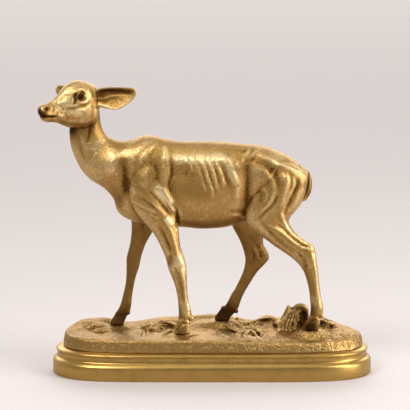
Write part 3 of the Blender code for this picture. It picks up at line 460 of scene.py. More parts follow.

# Dark lines of the lids, the tear duct, the mouth and the cheek, and painted shade along the lower edge of
# the jaw, in the head's own frame
HEAD_STAINS_AND_SHADE = strokes(
    Face.FLANKS,
    (0.7, 0.8, (18.3, 3), (17.2, 4.3), (16.2, 4.9)),
    (0.6, 0.6, (14.6, 5), (12.9, 4.6), (11.8, 3.2)),
    (0.7, 0.8, (17.6, 1.6), (18.8, 0.4), (19.4, -0.6)),
    (0.6, 0.9, (38.6, -1.8), (36.6, -2.6), (34.2, -3.4), (29.6, -4.8)),
    (0.8, 0.4, (22.6, -2.4), (17, -3.2), (11.2, -3.2)),
    # Painted shade along the lower edge of the jaw
    (1, 0.3, (28, -8), (22, -11.4), (16, -13.8)),
    (0.9, 0.35, (7.4, 4.6), (6.6, 1), (7, -4)),
)

# Painted shade along the hollow of an ear, under its upper rim, in its own frame
EAR_SHADE = rows_of(
    Swell,
    (1.5, 0.5, 1.4, 2.6, 0.55), (6.5, 0.5, 2, 2.8, 0.5), (12, 0.5, 1.8, 2.8, 0.5),
    (17.5, 0.5, 1.4, 2.4, 0.4),
)

# Painted highlights where light falls on the face, in the head's own frame, and on the body
PAINTED_HEAD_HIGHLIGHTS = rows_of(
    Swell,
    (23, 5, 0.5, 5, 0.8), (18, 7, -5.5, 3.4, 0.8), (33.4, 4.4, 0, 0.9, 0.9), (36.6, 2.6, 1.4, 1, 0.9),
    (20, 5.5, -3.6, 3, 0.5), (16, 7.5, -9, 3, 0.4), (12, 8, -0.6, 2.2, 0.6), (14, 7.5, 6, 2, 0.5),
)
PAINTED_BODY_HIGHLIGHTS = rows_of(
    Swell,
    (-61, -9, 128, 6, 0.6), (-50, -11, 124, 5, 0.6), (-56, -10, 116, 4, 0.4), (-25, -13, 124, 3.2, 0.7),
    (-23.5, -13.5, 86.5, 2.2, 0.9), (-28.5, -14, 103, 3.4, 1.2), (-24.8, -14, 98.5, 3.8, 1.5),
    (-18, -12, 63, 3.6, 0.8), (8.5, -14, 118, 3, 0.6), (11.5, -14, 112, 3, 0.9),
    (-2.5, -15, 111, 1.6, 0.3), (2, -15, 110, 1.6, 0.3), (46, -7, 112, 6, 0.15), (40, -10, 84, 4, 0.6),
    (-17, -12, 120.5, 5, 0.8), (-8, -12, 120.5, 5, 0.8), (2, -12, 120.5, 5, 0.8),
    (-21, -13, 91, 2.6, 0.7), (36, -8, 119, 5, 0.5), (24, -11, 124, 3, 0.3),
)

# Brown patina in the pits, on the tail and on the near hooves; patina with painted shade on the throat under
# the jaw; painted shade under the belly, on the rear of the near thigh and on the far hooves
BODY_PATINA_AND_SHADE = rows_of(
    Swell,
    # Patina with painted shade on the throat, under the jaw
    (-77, -3.6, 136, 4.6, 0.85), (-77, 3.6, 136, 4.6, 0.7), (-73, -5, 141, 3, 0.35),
    # The last of these is painted shade under the belly
    (-11.3, -15, 112.6, 1.3, 0.6), (-1.4, -15, 111.4, 1, 0.4), (-7, 0, 81, 12, 0.15),
    # The last of these is painted shade on the rear edge of the near thigh
    (54, -1, 107, 3.4, 0.4), (53.5, -1, 100, 3.6, 0.6), (48.5, -9, 107, 4.6, 0.28),
    # The last of these and the row below are painted shade on the far hooves
    (-17, -12, 25.5, 4.4, 0.4), (54, -12.5, 27, 4.4, 1.15), (57, -12, 36, 4, 0.3), (7, 9, 30, 7, 0.6),
    (-51, 9, 28, 6, 0.45),
)

# Brown stains along the hollows of the neck, trunk and legs, and painted shade along the lower edge of the
# belly
STAINS_AND_SHADE = strokes(
    Face.FLANKS,
    (2.3, 0.52, (-49.5, 121.5), (-48.2, 115), (-47.6, 108), (-47.8, 101)),
    (3.2, 0.3, (-54, 104), (-52, 99), (-50, 92)),
    (2.8, 0.4, (-33, 121.5), (-31.5, 115), (-33, 108.5)),
    (1.3, 0.25, (-42.5, 113), (-41, 107), (-36.5, 101), (-31, 95.5)),
    (1, 0.3, (-34, 102), (-29.2, 97), (-25.4, 92.2), (-22.4, 88.8)),
    (2.4, 0.4, (-22.6, 119), (-21.8, 112), (-22, 105), (-19, 98)),
    (4.5, 0.36, (-20.5, 114.5), (-14, 112.5), (-8.5, 109)),
    (3.4, 0.2, (-18, 105), (-10, 102), (0, 100.5)),
    (1, 0.22, (-8.4, 117), (-5.9, 112.5), (-4.4, 107)),
    (0.9, 0.22, (-3, 116), (-1.5, 111), (0.2, 105.5)),
    (0.9, 0.2, (1, 116), (2.6, 111), (4.2, 105.5)),
    (1.4, 0.3, (6.4, 114.5), (8.4, 109.5), (10.4, 104)),
    (1.4, 0.3, (14, 121), (16.8, 117.5), (17.6, 113)),
    (1.9, 0.5, (20.6, 121.5), (19.6, 115), (19.4, 107), (19, 99), (16.6, 91.5)),
    (2.6, 0.42, (24.5, 120.5), (29.5, 116.5), (34, 112.5), (36, 106.5)),
    (1, 0.3, (36.5, 116), (41, 113.2), (46, 110.8)),
    (1.6, 0.08, (25.4, 103.5), (26.6, 99.8), (25.3, 95.9)),
    (1.1, 0.4, (46.2, 110), (46.6, 105.5), (44.4, 100), (41.6, 94)),
    (0.7, 0.4, (53, 112), (52.8, 107), (51.6, 101.5)),
    # Painted shade along the lower edge of the belly
    (1.9, 0.35, (-17.5, 84.4), (-4, 82.6), (9, 84.4), (17, 88.4)),
    (1.3, 0.3, (-66, 140), (-66.8, 134.5), (-68.2, 128)),
    (1.2, 0.25, (-60.4, 146), (-60.8, 140)),
) + strokes(
    Face.NEAR,
    (0.7, 0.4, (-19.4, 94), (-18.6, 88), (-18.4, 83)),
    (1.1, 0.3, (-28.6, 83), (-25.3, 76), (-22.6, 69)),
    (1.4, 0.35, (-23.2, 67), (-22.8, 61)),
    (0.9, 0.25, (-19.8, 58), (-17.6, 50), (-16.4, 42)),
    (1.6, 0.3, (-18, 38), (-17.6, 33), (-14, 31)),
    (1.2, 0.25, (27.2, 85.8), (32.7, 79), (38.8, 73.6), (46, 68.5)),
    (1.2, 0.35, (50.2, 66), (51.4, 60), (54, 52), (55.6, 44)),
    (1.8, 0.35, (54.6, 40), (54.6, 35), (57, 31.5)),
)


def eased(share: float) -> float:
    """Return a share from 0 to 1 eased at both ends."""
    inside = min(max(share, 0.0), 1.0)
    return inside * inside * (3 - 2 * inside)


def ramp(values: np.ndarray, start: float, end: float) -> np.ndarray:
    """Return how far values are on the way from a start to an end, from 0 to 1."""
    return np.clip((values - start) / (end - start), 0.0, 1.0)


def bell(distance: np.ndarray, reach: float) -> np.ndarray:
    """Return a round fall-off that is 1 at no distance."""
    return np.exp(-((distance / reach) ** 2))


def framed(turn: Matrix) -> Place:
    """Return the placing of points that are given in a frame of their own."""
    return lambda x, y, z: turn @ Vector((x, y, z))


def between(rows: Sequence, steps: int) -> list:
    """Draw smooth in-between rows, by a Catmull-Rom curve through each value.

    Args:
        rows: Tuples of numbers, such as sections or the points of a route.
        steps: How many rows each gap is drawn with.

    Returns:
        The rows and those between them, as tuples of numbers.
    """
    out = []
    last = len(rows) - 1
    for index in range(last):
        before, here = rows[max(index - 1, 0)], rows[index]
        there, after = rows[index + 1], rows[min(index + 2, last)]
        for step in range(steps):
            t = step / steps
            row = []
            for a, b, c, d in zip(before, here, there, after):
                curve = 2 * b + (c - a) * t + (2 * a - 5 * b + 4 * c - d) * t * t
                row.append((curve + (3 * b - a - 3 * c + d) * t * t * t) / 2)
            out.append(tuple(row))
    out.append(tuple(rows[last]))
    return out


def add_tube(mesh: BMesh, sides: int, rounds: Sequence[RoundPlace]) -> None:
    """Add a closed skin of bridged rounds of vertices, with both ends filled.

    Args:
        mesh: The mesh that takes the skin.
        sides: Vertices in a round.
        rounds: Places a point of the unit circle on each round, from one end to the other.
    """
    loops = []
    for place in rounds:
        made = bmesh.ops.create_circle(mesh, segments=sides, radius=1.0)["verts"]
        loops.append(list(dict.fromkeys(edge for vertex in made for edge in vertex.link_edges)))
        for vertex in made:
            vertex.co = place(vertex.co.x, vertex.co.y)
    bmesh.ops.edgeloop_fill(mesh, edges=loops[0])
    bmesh.ops.edgeloop_fill(mesh, edges=loops[-1])
    for lower, upper in zip(loops, loops[1:]):
        bmesh.ops.bridge_loops(mesh, edges=lower + upper)


@dataclass(frozen=True)
class Loft:
    """Skins a limb through rounds of vertices, one round for each section."""

    sides: int = 96  # vertices in a round
    steps: int = 6  # rounds that each gap between two sections is drawn with
    bluntness: float = 1.0  # 1 gives ovals, and less gives rounds with blunter ends

    def spot(self, section: Section, place: Place, reach: float, side: float) -> Vector:
        """Place a point of the unit circle on a section's round.

        Args:
            section: The section.
            place: Turns a point of the limb's frame into one of the piece's.
            reach: The circle point's x, from -1 at the back to 1 at the front.
            side: Its y, from -1 to 1 across the limb.

        Returns:
            The point's place in the piece.
        """
        across = math.copysign(abs(side) ** self.bluntness, side) * section.wide
        middle_x = (section.front_x + section.back_x) / 2
        middle_z = (section.front_z + section.back_z) / 2
        return place(
            middle_x + reach * (section.front_x - section.back_x) / 2,
            section.y + across * (1 - section.taper * reach),
            middle_z + reach * (section.front_z - section.back_z) / 2,
        )

    def skin(self, mesh: BMesh, limb: Sequence, place: Place = framed(LEVEL)) -> None:
        """Add one closed smooth limb through its sections, with every point placed in the piece."""
        rows = [Section(*row) for row in between(limb, self.steps)]
        add_tube(mesh, self.sides, [partial(self.spot, row, place) for row in rows])


def as_mesh(name: str, made: BMesh) -> bpy.types.Mesh:
    """Turn a bmesh into a mesh, and free it.

    Args:
        name: The mesh's name.
        made: The bmesh.

    Returns:
        The mesh.
    """
    mesh = bpy.data.meshes.new(name)
    made.to_mesh(mesh)
    made.free()
    return mesh


def as_object(name: str, data: bpy.types.ID) -> bpy.types.Object:
    """Put a mesh, a camera or a light in the scene.

    Args:
        name: The object's name.
        data: What the object shows.

    Returns:
        The object.
    """
    made = bpy.data.objects.new(name, data)
    bpy.context.scene.collection.objects.link(made)
    return made


def baked(carrier: bpy.types.Object, name: str) -> bpy.types.Mesh:
    """Apply an object's modifiers, and remove the object.

    Args:
        carrier: The object.
        name: Name of the mesh that is made.

    Returns:
        The mesh that the modifiers give.
    """
    bpy.context.view_layer.update()
    graph = bpy.context.evaluated_depsgraph_get()
    mesh = bpy.data.meshes.new_from_object(carrier.evaluated_get(graph), depsgraph=graph)
    old = carrier.data
    bpy.data.objects.remove(carrier)
    bpy.data.meshes.remove(old)
    mesh.name = name
    return mesh


def joined(name: str, mesh: BMesh, voxel: float, smoothing: int) -> bpy.types.Mesh:
    """Join overlapping closed skins into one, as even voxels, and smooth it.

    Args:
        name: Name of the piece.
        mesh: The overlapping skins, freed here.
        voxel: Size of a voxel in millimetres.
        smoothing: Rounds of smoothing.

    Returns:
        The joined mesh, in millimetres.
    """
    bmesh.ops.recalc_face_normals(mesh, faces=mesh.faces)
    carrier = as_object(name + "_rough", as_mesh(name + "_rough", mesh))
    remesh = carrier.modifiers.new("join", "REMESH")
    remesh.mode = "VOXEL"
    remesh.voxel_size = voxel
    relax = carrier.modifiers.new("relax", "SMOOTH")
    relax.iterations = smoothing
    return baked(carrier, name)


def drop_pockets(mesh: bpy.types.Mesh) -> None:
    """Delete every closed pocket inside the skin, and keep the skin that its top belongs to.

    Args:
        mesh: The skin, changed in place.
    """
    skin = bmesh.new()
    skin.from_mesh(mesh)
    front = [max(skin.verts, key=lambda vertex: vertex.co.z)]
    reached = set(front)
    while front:
        vertex = front.pop()
        for edge in vertex.link_edges:
            other = edge.other_vert(vertex)
            if other not in reached:
                reached.add(other)
                front.append(other)
    loose = [vertex for vertex in skin.verts if vertex not in reached]
    bmesh.ops.delete(skin, geom=loose, context="VERTS")
    skin.to_mesh(mesh)
    skin.free()


def route_distance(points: np.ndarray, route: np.ndarray) -> tuple:
    """Measure points against a route of short straight runs.

    Args:
        points: The points, seen from the side.
        route: The route's own points.

    Returns:
        How far each point lies from the route, and its share of the way along.
    """
    nearest = np.full(len(points), np.inf)
    share = np.zeros(len(points))
    runs = len(route) - 1
    for index in range(runs):
        run = route[index + 1] - route[index]
        along = np.clip((points - route[index]) @ run / (run @ run), 0.0, 1.0)
        gap = np.linalg.norm(points - route[index] - along[:, None] * run, axis=1)
        closer = gap < nearest
        nearest[closer] = gap[closer]
        share[closer] = (index + along[closer]) / runs
    return nearest, share


class Clay:
    """A fine skin in millimetres that is shaped point by point along its normals."""

    ROUTE_STEPS = 4  # runs that each gap of a route is drawn with
    REACHES = 2.5  # reaches after which a stroke ends
    END_FADE = 0.7  # share of its height that a stroke loses at its two ends
    END_POWER = 4  # how late on its way to an end it fades
    FACING = 0.25  # how squarely the skin has to face a stroke to take its full height
    RELAXING = 0.5  # share of the way to the mean of its neighbours that a point relaxes in one round

    def __init__(self, mesh: bpy.types.Mesh) -> None:
        """Take the mesh to be shaped."""
        self.mesh = mesh
        self.read()

    def read(self) -> None:
        """Read the points and normals from the mesh."""
        count = len(self.mesh.vertices)
        points = np.empty(count * 3)
        normals = np.empty(count * 3)
        self.mesh.vertices.foreach_get("co", points)
        self.mesh.vertex_normals.foreach_get("vector", normals)
        self.points = points.reshape(-1, 3)
        self.normals = normals.reshape(-1, 3)

    def push(self, lift: np.ndarray) -> None:
        """Move every point along its normal.

        Args:
            lift: How far each point moves.
        """
        moved = self.points + self.normals * lift[:, None]
        self.mesh.vertices.foreach_set("co", moved.ravel())
        self.mesh.update()
        self.read()

    def seen_in(self, turn: Matrix) -> tuple:
        """Return the points and the normals in another frame."""
        rotation = np.array(turn.to_3x3())
        return (self.points - np.array(turn.translation)) @ rotation, self.normals @ rotation

    def traced(self, cuts: tuple, turn: Matrix, half_width: float = math.inf) -> np.ndarray:
        """Sum up strokes drawn on the sides of a frame.

        Args:
            cuts: The strokes, in the frame's own x and z.
            turn: The frame.
            half_width: How far from the frame's middle the strokes still work.

        Returns:
            The height of the strokes at every point.
        """
        local, normals = self.seen_in(turn)
        seen = local[:, [0, 2]]
        lift = np.zeros(len(local))
        for stroke in cuts:
            route = np.array(between(stroke.route, self.ROUTE_STEPS))
            margin = stroke.reach * self.REACHES
            inside = (seen > route.min(0) - margin) & (seen < route.max(0) + margin)
            near = np.flatnonzero(inside.all(1) & (np.abs(local[:, 1]) < half_width))
            half, way = stroke.face.value
            sides = np.sign(local[near, 1])
            facing = np.clip(normals[near, 1] * (way or sides) / self.FACING, 0.0, 1.0)
            if half:
                facing *= sides == half
            distance, share = route_distance(seen[near], route)
            fade = 1.0 - self.END_FADE * np.abs(2.0 * share - 1.0) ** self.END_POWER
            lift[near] += stroke.height * fade * facing * bell(distance, stroke.reach)
        return lift

    def blobs(self, swells: tuple, turn: Matrix) -> np.ndarray:
        """Sum up round swells.

        Args:
            swells: The swells, each given in the frame.
            turn: The frame.

        Returns:
            The height of the swells at every point.
        """
        local = self.seen_in(turn)[0]
        total = np.zeros(len(local))
        for swell in swells:
            distance = np.linalg.norm(local - np.array(swell[:3]), axis=1)
            total += swell.height * bell(distance, swell.reach)
        return total

    def grain(self, stretch: tuple) -> np.ndarray:
        """Return smooth noise from -1 to 1 at every point, of the size given along each axis."""
        return np.array([noise.noise(point) for point in (self.points / np.array(stretch)).tolist()])

    def pebbles(self, size: float) -> np.ndarray:
        """Return at every point how near it is to the middle of its own pebble, from 0 to 1."""
        near = [noise.voronoi(point)[0][0] for point in (self.points / size).tolist()]
        return np.clip(1.0 - np.array(near), 0.0, 1.0)

    def hollows(self, rounds: int, depth: float) -> np.ndarray:
        """Measure how far each point lies under the relaxed skin round it.

        Args:
            rounds: Rounds of relaxing: more of them see broader hollows.
            depth: The depth in millimetres that counts as a full hollow.

        Returns:
            A share from -1 on a ridge to 1 in a hollow.
        """
        ends = np.empty(len(self.mesh.edges) * 2, np.int32)
        self.mesh.edges.foreach_get("vertices", ends)
        first, second = ends.reshape(-1, 2).T
        count = len(self.points)
        links = np.maximum(np.bincount(ends, minlength=count), 1)
        relaxed = self.points.copy()
        for _ in range(rounds):
            for column in relaxed.T:
                total = np.bincount(first, column[second], count) + np.bincount(second, column[first], count)
                column += self.RELAXING * (total / links - column)
        sunk = ((relaxed - self.points) * self.normals).sum(1)
        return np.clip(sunk / depth, -1.0, 1.0)

    def thin(self, triangles: int, name: str) -> None:
        """Bring the skin down to about as many triangles.

        Args:
            triangles: How many.
            name: Name of the piece.
        """
        self.mesh.calc_loop_triangles()
        carrier = as_object(name, self.mesh)
        decimate = carrier.modifiers.new("thin", "DECIMATE")
        decimate.ratio = min(1.0, triangles / len(self.mesh.loop_triangles))
        self.mesh = baked(carrier, name)
        drop_pockets(self.mesh)
        self.read()

    def mark(self, name: str, values: np.ndarray) -> None:
        """Keep one value a point as an attribute that the finish reads."""
        layer = self.mesh.attributes.new(name, "FLOAT", "POINT")
        layer.data.foreach_set("value", values.astype(np.float32))


class Signal:
    """A shader socket whose arithmetic adds Math nodes."""

    def __init__(self, tree: "Tree", socket: bpy.types.NodeSocket) -> None:
        """Wrap one output socket."""
        self.tree = tree
        self.socket = socket

    def math(self, operation: str, *values: Any, clamp: bool = False) -> "Signal":
        """Return the result of a Math node."""
        settings = {"operation": operation, "use_clamp": clamp}
        return self.tree.node("ShaderNodeMath", settings, dict(enumerate(values)))

    def __add__(self, other: Any) -> "Signal":
        """Add."""
        return self.math("ADD", self, other)

    def __sub__(self, other: Any) -> "Signal":
        """Subtract."""
        return self.math("SUBTRACT", self, other)

    def __rsub__(self, other: Any) -> "Signal":
        """Subtract from a number."""
        return self.math("SUBTRACT", other, self)

    def __mul__(self, other: Any) -> "Signal":
        """Multiply."""
        return self.math("MULTIPLY", self, other)

    __radd__ = __add__
    __rmul__ = __mul__

    def clamped(self) -> "Signal":
        """Return the signal held between 0 and 1."""
        return self.math("ADD", self, 0.0, clamp=True)


class Tree:
    """The nodes of a material or of the world round the shader that it starts with."""

    # Numbers of the Mix node's sockets for colours, because those of its other types have the same names
    MIX_FACTOR = 0
    MIX_FIRST = 6
    MIX_SECOND = 7
    MIX_COLOUR = 2
    NOISE_MIDDLE = 0.5  # what noise varies about

    def __init__(self, owner: bpy.types.ID, shader: str = "Principled BSDF") -> None:
        """Turn the owner's nodes on and find its shader.

        Args:
            owner: The material or the world.
            shader: Name of the shader that it starts with.
        """
        owner.use_nodes = True
        self.nodes = owner.node_tree.nodes
        self.links = owner.node_tree.links
        self.shader = self.nodes[shader]

    def feed(self, node: bpy.types.Node, values: dict) -> None:
        """Link signals to a node's sockets, or set the sockets' own values.

        Args:
            node: The node.
            values: Values or signals, by the socket's name or number.
        """
        for key, value in values.items():
            if isinstance(value, Signal):
                self.links.new(value.socket, node.inputs[key])
            else:
                node.inputs[key].default_value = value

    def node(self, kind: str, settings: dict, values: dict, output: int | str = 0) -> Signal:
        """Add a node.

        Args:
            kind: The node's type.
            settings: Its own settings, set first.
            values: Values or signals for its sockets, by name or number.
            output: Name or number of the output wanted.

        Returns:
            That output as a signal.
        """
        made = self.nodes.new(kind)
        for key, value in settings.items():
            setattr(made, key, value)
        self.feed(made, values)
        return Signal(self, made.outputs[output])

    def noise(self, size: float, detail: float, stretch: tuple = (1.0, 1.0, 1.0)) -> Signal:
        """Add noise on the object's own coordinates.

        Args:
            size: About how large its features are, in millimetres.
            detail: Octaves of finer noise.
            stretch: How much finer it is along each axis.

        Returns:
            The noise, about 0, from -0.5 to 0.5.
        """
        spot = self.node("ShaderNodeTexCoord", {}, {}, "Object")
        scale = tuple(part / (size * MM) for part in stretch)
        place = self.node("ShaderNodeMapping", {}, {"Vector": spot, "Scale": scale})
        values = {"Vector": place, "Scale": 1.0, "Detail": detail}
        return self.node("ShaderNodeTexNoise", {}, values) - self.NOISE_MIDDLE

    def mark(self, name: str) -> Signal:
        """Return an attribute of the piece."""
        return self.node("ShaderNodeAttribute", {"attribute_name": name}, {}, "Fac")

    def blend(self, factor: Signal, first: Any, second: Any) -> Signal:
        """Return a colour between two."""
        values = {self.MIX_FACTOR: factor, self.MIX_FIRST: first, self.MIX_SECOND: second}
        return self.node("ShaderNodeMix", {"data_type": "RGBA"}, values, self.MIX_COLOUR)

    def bump(self, height: Signal, depth: float) -> Signal:
        """Return normals tilted by a height of that many millimetres."""
        values = {"Height": height, "Distance": depth * MM, "Strength": 1.0}
        return self.node("ShaderNodeBump", {}, values)


@dataclass(frozen=True)
class GiltBronze:
    """Gilt bronze: bright where it is rubbed and where highlights are painted, brown where dust and patina
    hold in the hollows and where shade is painted.
    """

    name: str
    # The gilt; the gilt rubbed pale, which also paints the highlights; the brown of the hollows and of
    # painted shade; the darkest patina and painted shade; and grazing light
    gilt: tuple = (0.39, 0.228, 0.066, 1.0)
    pale_gilt_and_highlight: tuple = (0.75, 0.565, 0.29, 1.0)
    brown_patina_and_shade: tuple = (0.110, 0.046, 0.009, 1.0)
    dark_patina_and_shade: tuple = (0.042, 0.018, 0.005, 1.0)
    edge: tuple = (0.92, 0.90, 0.87, 1.0)
    # How strongly hollows, mottling and specks brown the gilt and painted highlights lighten it, and how far
    # patina and painted shade spread
    hollow_and_highlight_share: float = 1.15
    mottle: float = 0.5
    mottle_size: float = 5.0
    speckle: float = 0.9
    speckle_size: float = 1.3
    patina_spread: float = 1.1
    # How ridges and painted highlights turn pale, how patina and painted shade keep them from it, and from
    # where these are darkest
    ridge_share: float = 0.9
    ridge_mottle: float = 0.4
    ridge_start: float = 0.14
    patina_cover: float = 1.5
    deep_start: float = 0.55
    # Roughness of the plain gilt, and how the brown patina and painted shade, the pale gilt and painted
    # highlights, the specks and the dark change it
    polish: float = 0.45
    browned_dullness: float = 0.14
    lit_gloss: float = 0.10
    speck_dullness: float = 0.16
    deep_dullness: float = 0.12
    # The finest relief: round grain, hair, and the lines of a brushed band
    coarse_detail: float = 3.0
    fine_detail: float = 2.0
    grain_size: float = 0.75
    grain_depth: float = 0.32
    round_grain: float = 0.6
    hair_size: float = 0.8
    hair: tuple = (0.8, 0.8, 0.3)
    brushing: float = 0.0
    brush_size: float = 1.0
    brush: tuple = (0.04, 0.04, 4.0)

    def material(self) -> bpy.types.Material:
        """Make the material.

        Returns:
            The material, which reads the piece's attributes of hollows with painted highlights and of patina
            with painted shade.
        """
        made = bpy.data.materials.new(self.name)
        tree = Tree(made)
        hollow_and_highlight = tree.mark("hollow_and_highlight")
        patina_and_shade = tree.mark("patina_and_shade")
        clouds = tree.noise(self.mottle_size, self.coarse_detail)
        specks = tree.noise(self.grain_size * self.speckle_size, self.fine_detail)
        spots = clouds * self.mottle + specks * self.speckle
        browned_by_patina_and_shade = (hollow_and_highlight * self.hollow_and_highlight_share + spots).clamped()
        browned_by_patina_and_shade = (browned_by_patina_and_shade + patina_and_shade * (clouds + self.patina_spread)).clamped()
        ridges_and_highlights = clouds * self.ridge_mottle + specks * self.speckle - hollow_and_highlight * self.ridge_share
        lit = (ridges_and_highlights - self.ridge_start - patina_and_shade * self.patina_cover).clamped()
        deep = (patina_and_shade * self.patina_cover - self.deep_start).clamped()
        # Pale on rubbed ridges and on painted highlights
        colour = tree.blend(lit, self.gilt, self.pale_gilt_and_highlight)
        # Brown in the hollows, in the patina and in painted shade
        colour = tree.blend(browned_by_patina_and_shade, colour, self.brown_patina_and_shade)
        # Darkest in the thickest patina and the deepest painted shade
        colour = tree.blend(deep, colour, self.dark_patina_and_shade)
        dull = self.polish + browned_by_patina_and_shade * self.browned_dullness - lit * self.lit_gloss
        dull += specks * self.speck_dullness + deep * self.deep_dullness
        relief = tree.noise(self.grain_size, self.coarse_detail) * self.round_grain
        hair = tree.noise(self.grain_size * self.hair_size, self.fine_detail, self.hair)
        relief += hair * (1.0 - self.round_grain)
        if self.brushing:
            lines = tree.noise(self.brush_size, self.fine_detail, self.brush)
            relief = relief * (1.0 - self.brushing) + lines * self.brushing
        tree.feed(tree.shader, {
            "Base Color": colour,
            "Metallic": 1.0,
            "Specular Tint": self.edge,
            "Roughness": dull,
            "Normal": tree.bump(relief, self.grain_depth),
        })
        return made


HIDE = GiltBronze("gilt_hide")
EARTH = GiltBronze(
    "gilt_earth",
    gilt=(0.36, 0.215, 0.068, 1.0),
    pale_gilt_and_highlight=(0.50, 0.34, 0.14, 1.0),
    brown_patina_and_shade=(0.11, 0.052, 0.012, 1.0),
    polish=0.44,
    hollow_and_highlight_share=1.0,
    mottle=0.8,
    grain_depth=0.26,
)
BAND = GiltBronze(
    "gilt_band",
    gilt=(0.46, 0.288, 0.082, 1.0),
    pale_gilt_and_highlight=(0.62, 0.45, 0.19, 1.0),
    polish=0.33,
    mottle=0.75,
    grain_depth=0.035,
    brushing=0.8,
)


def finished(clay: Clay, finish: GiltBronze, name: str, node: str) -> bpy.types.Object:
    """Turn a shaped skin into a piece of the model.

    Args:
        clay: The skin, in millimetres.
        finish: Its finish.
        name: The piece's name.
        node: The node that it stands for, whose own part is hidden.

    Returns:
        The piece, riding on the sculpture's body.
    """
    mesh = clay.mesh
    mesh.transform(Matrix.Scale(MM, 4))
    mesh.materials.clear()
    mesh.materials.append(finish.material())
    mesh.shade_smooth()
    piece = as_object(name, mesh)
    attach(piece, "root")
    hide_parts(node)
    return piece


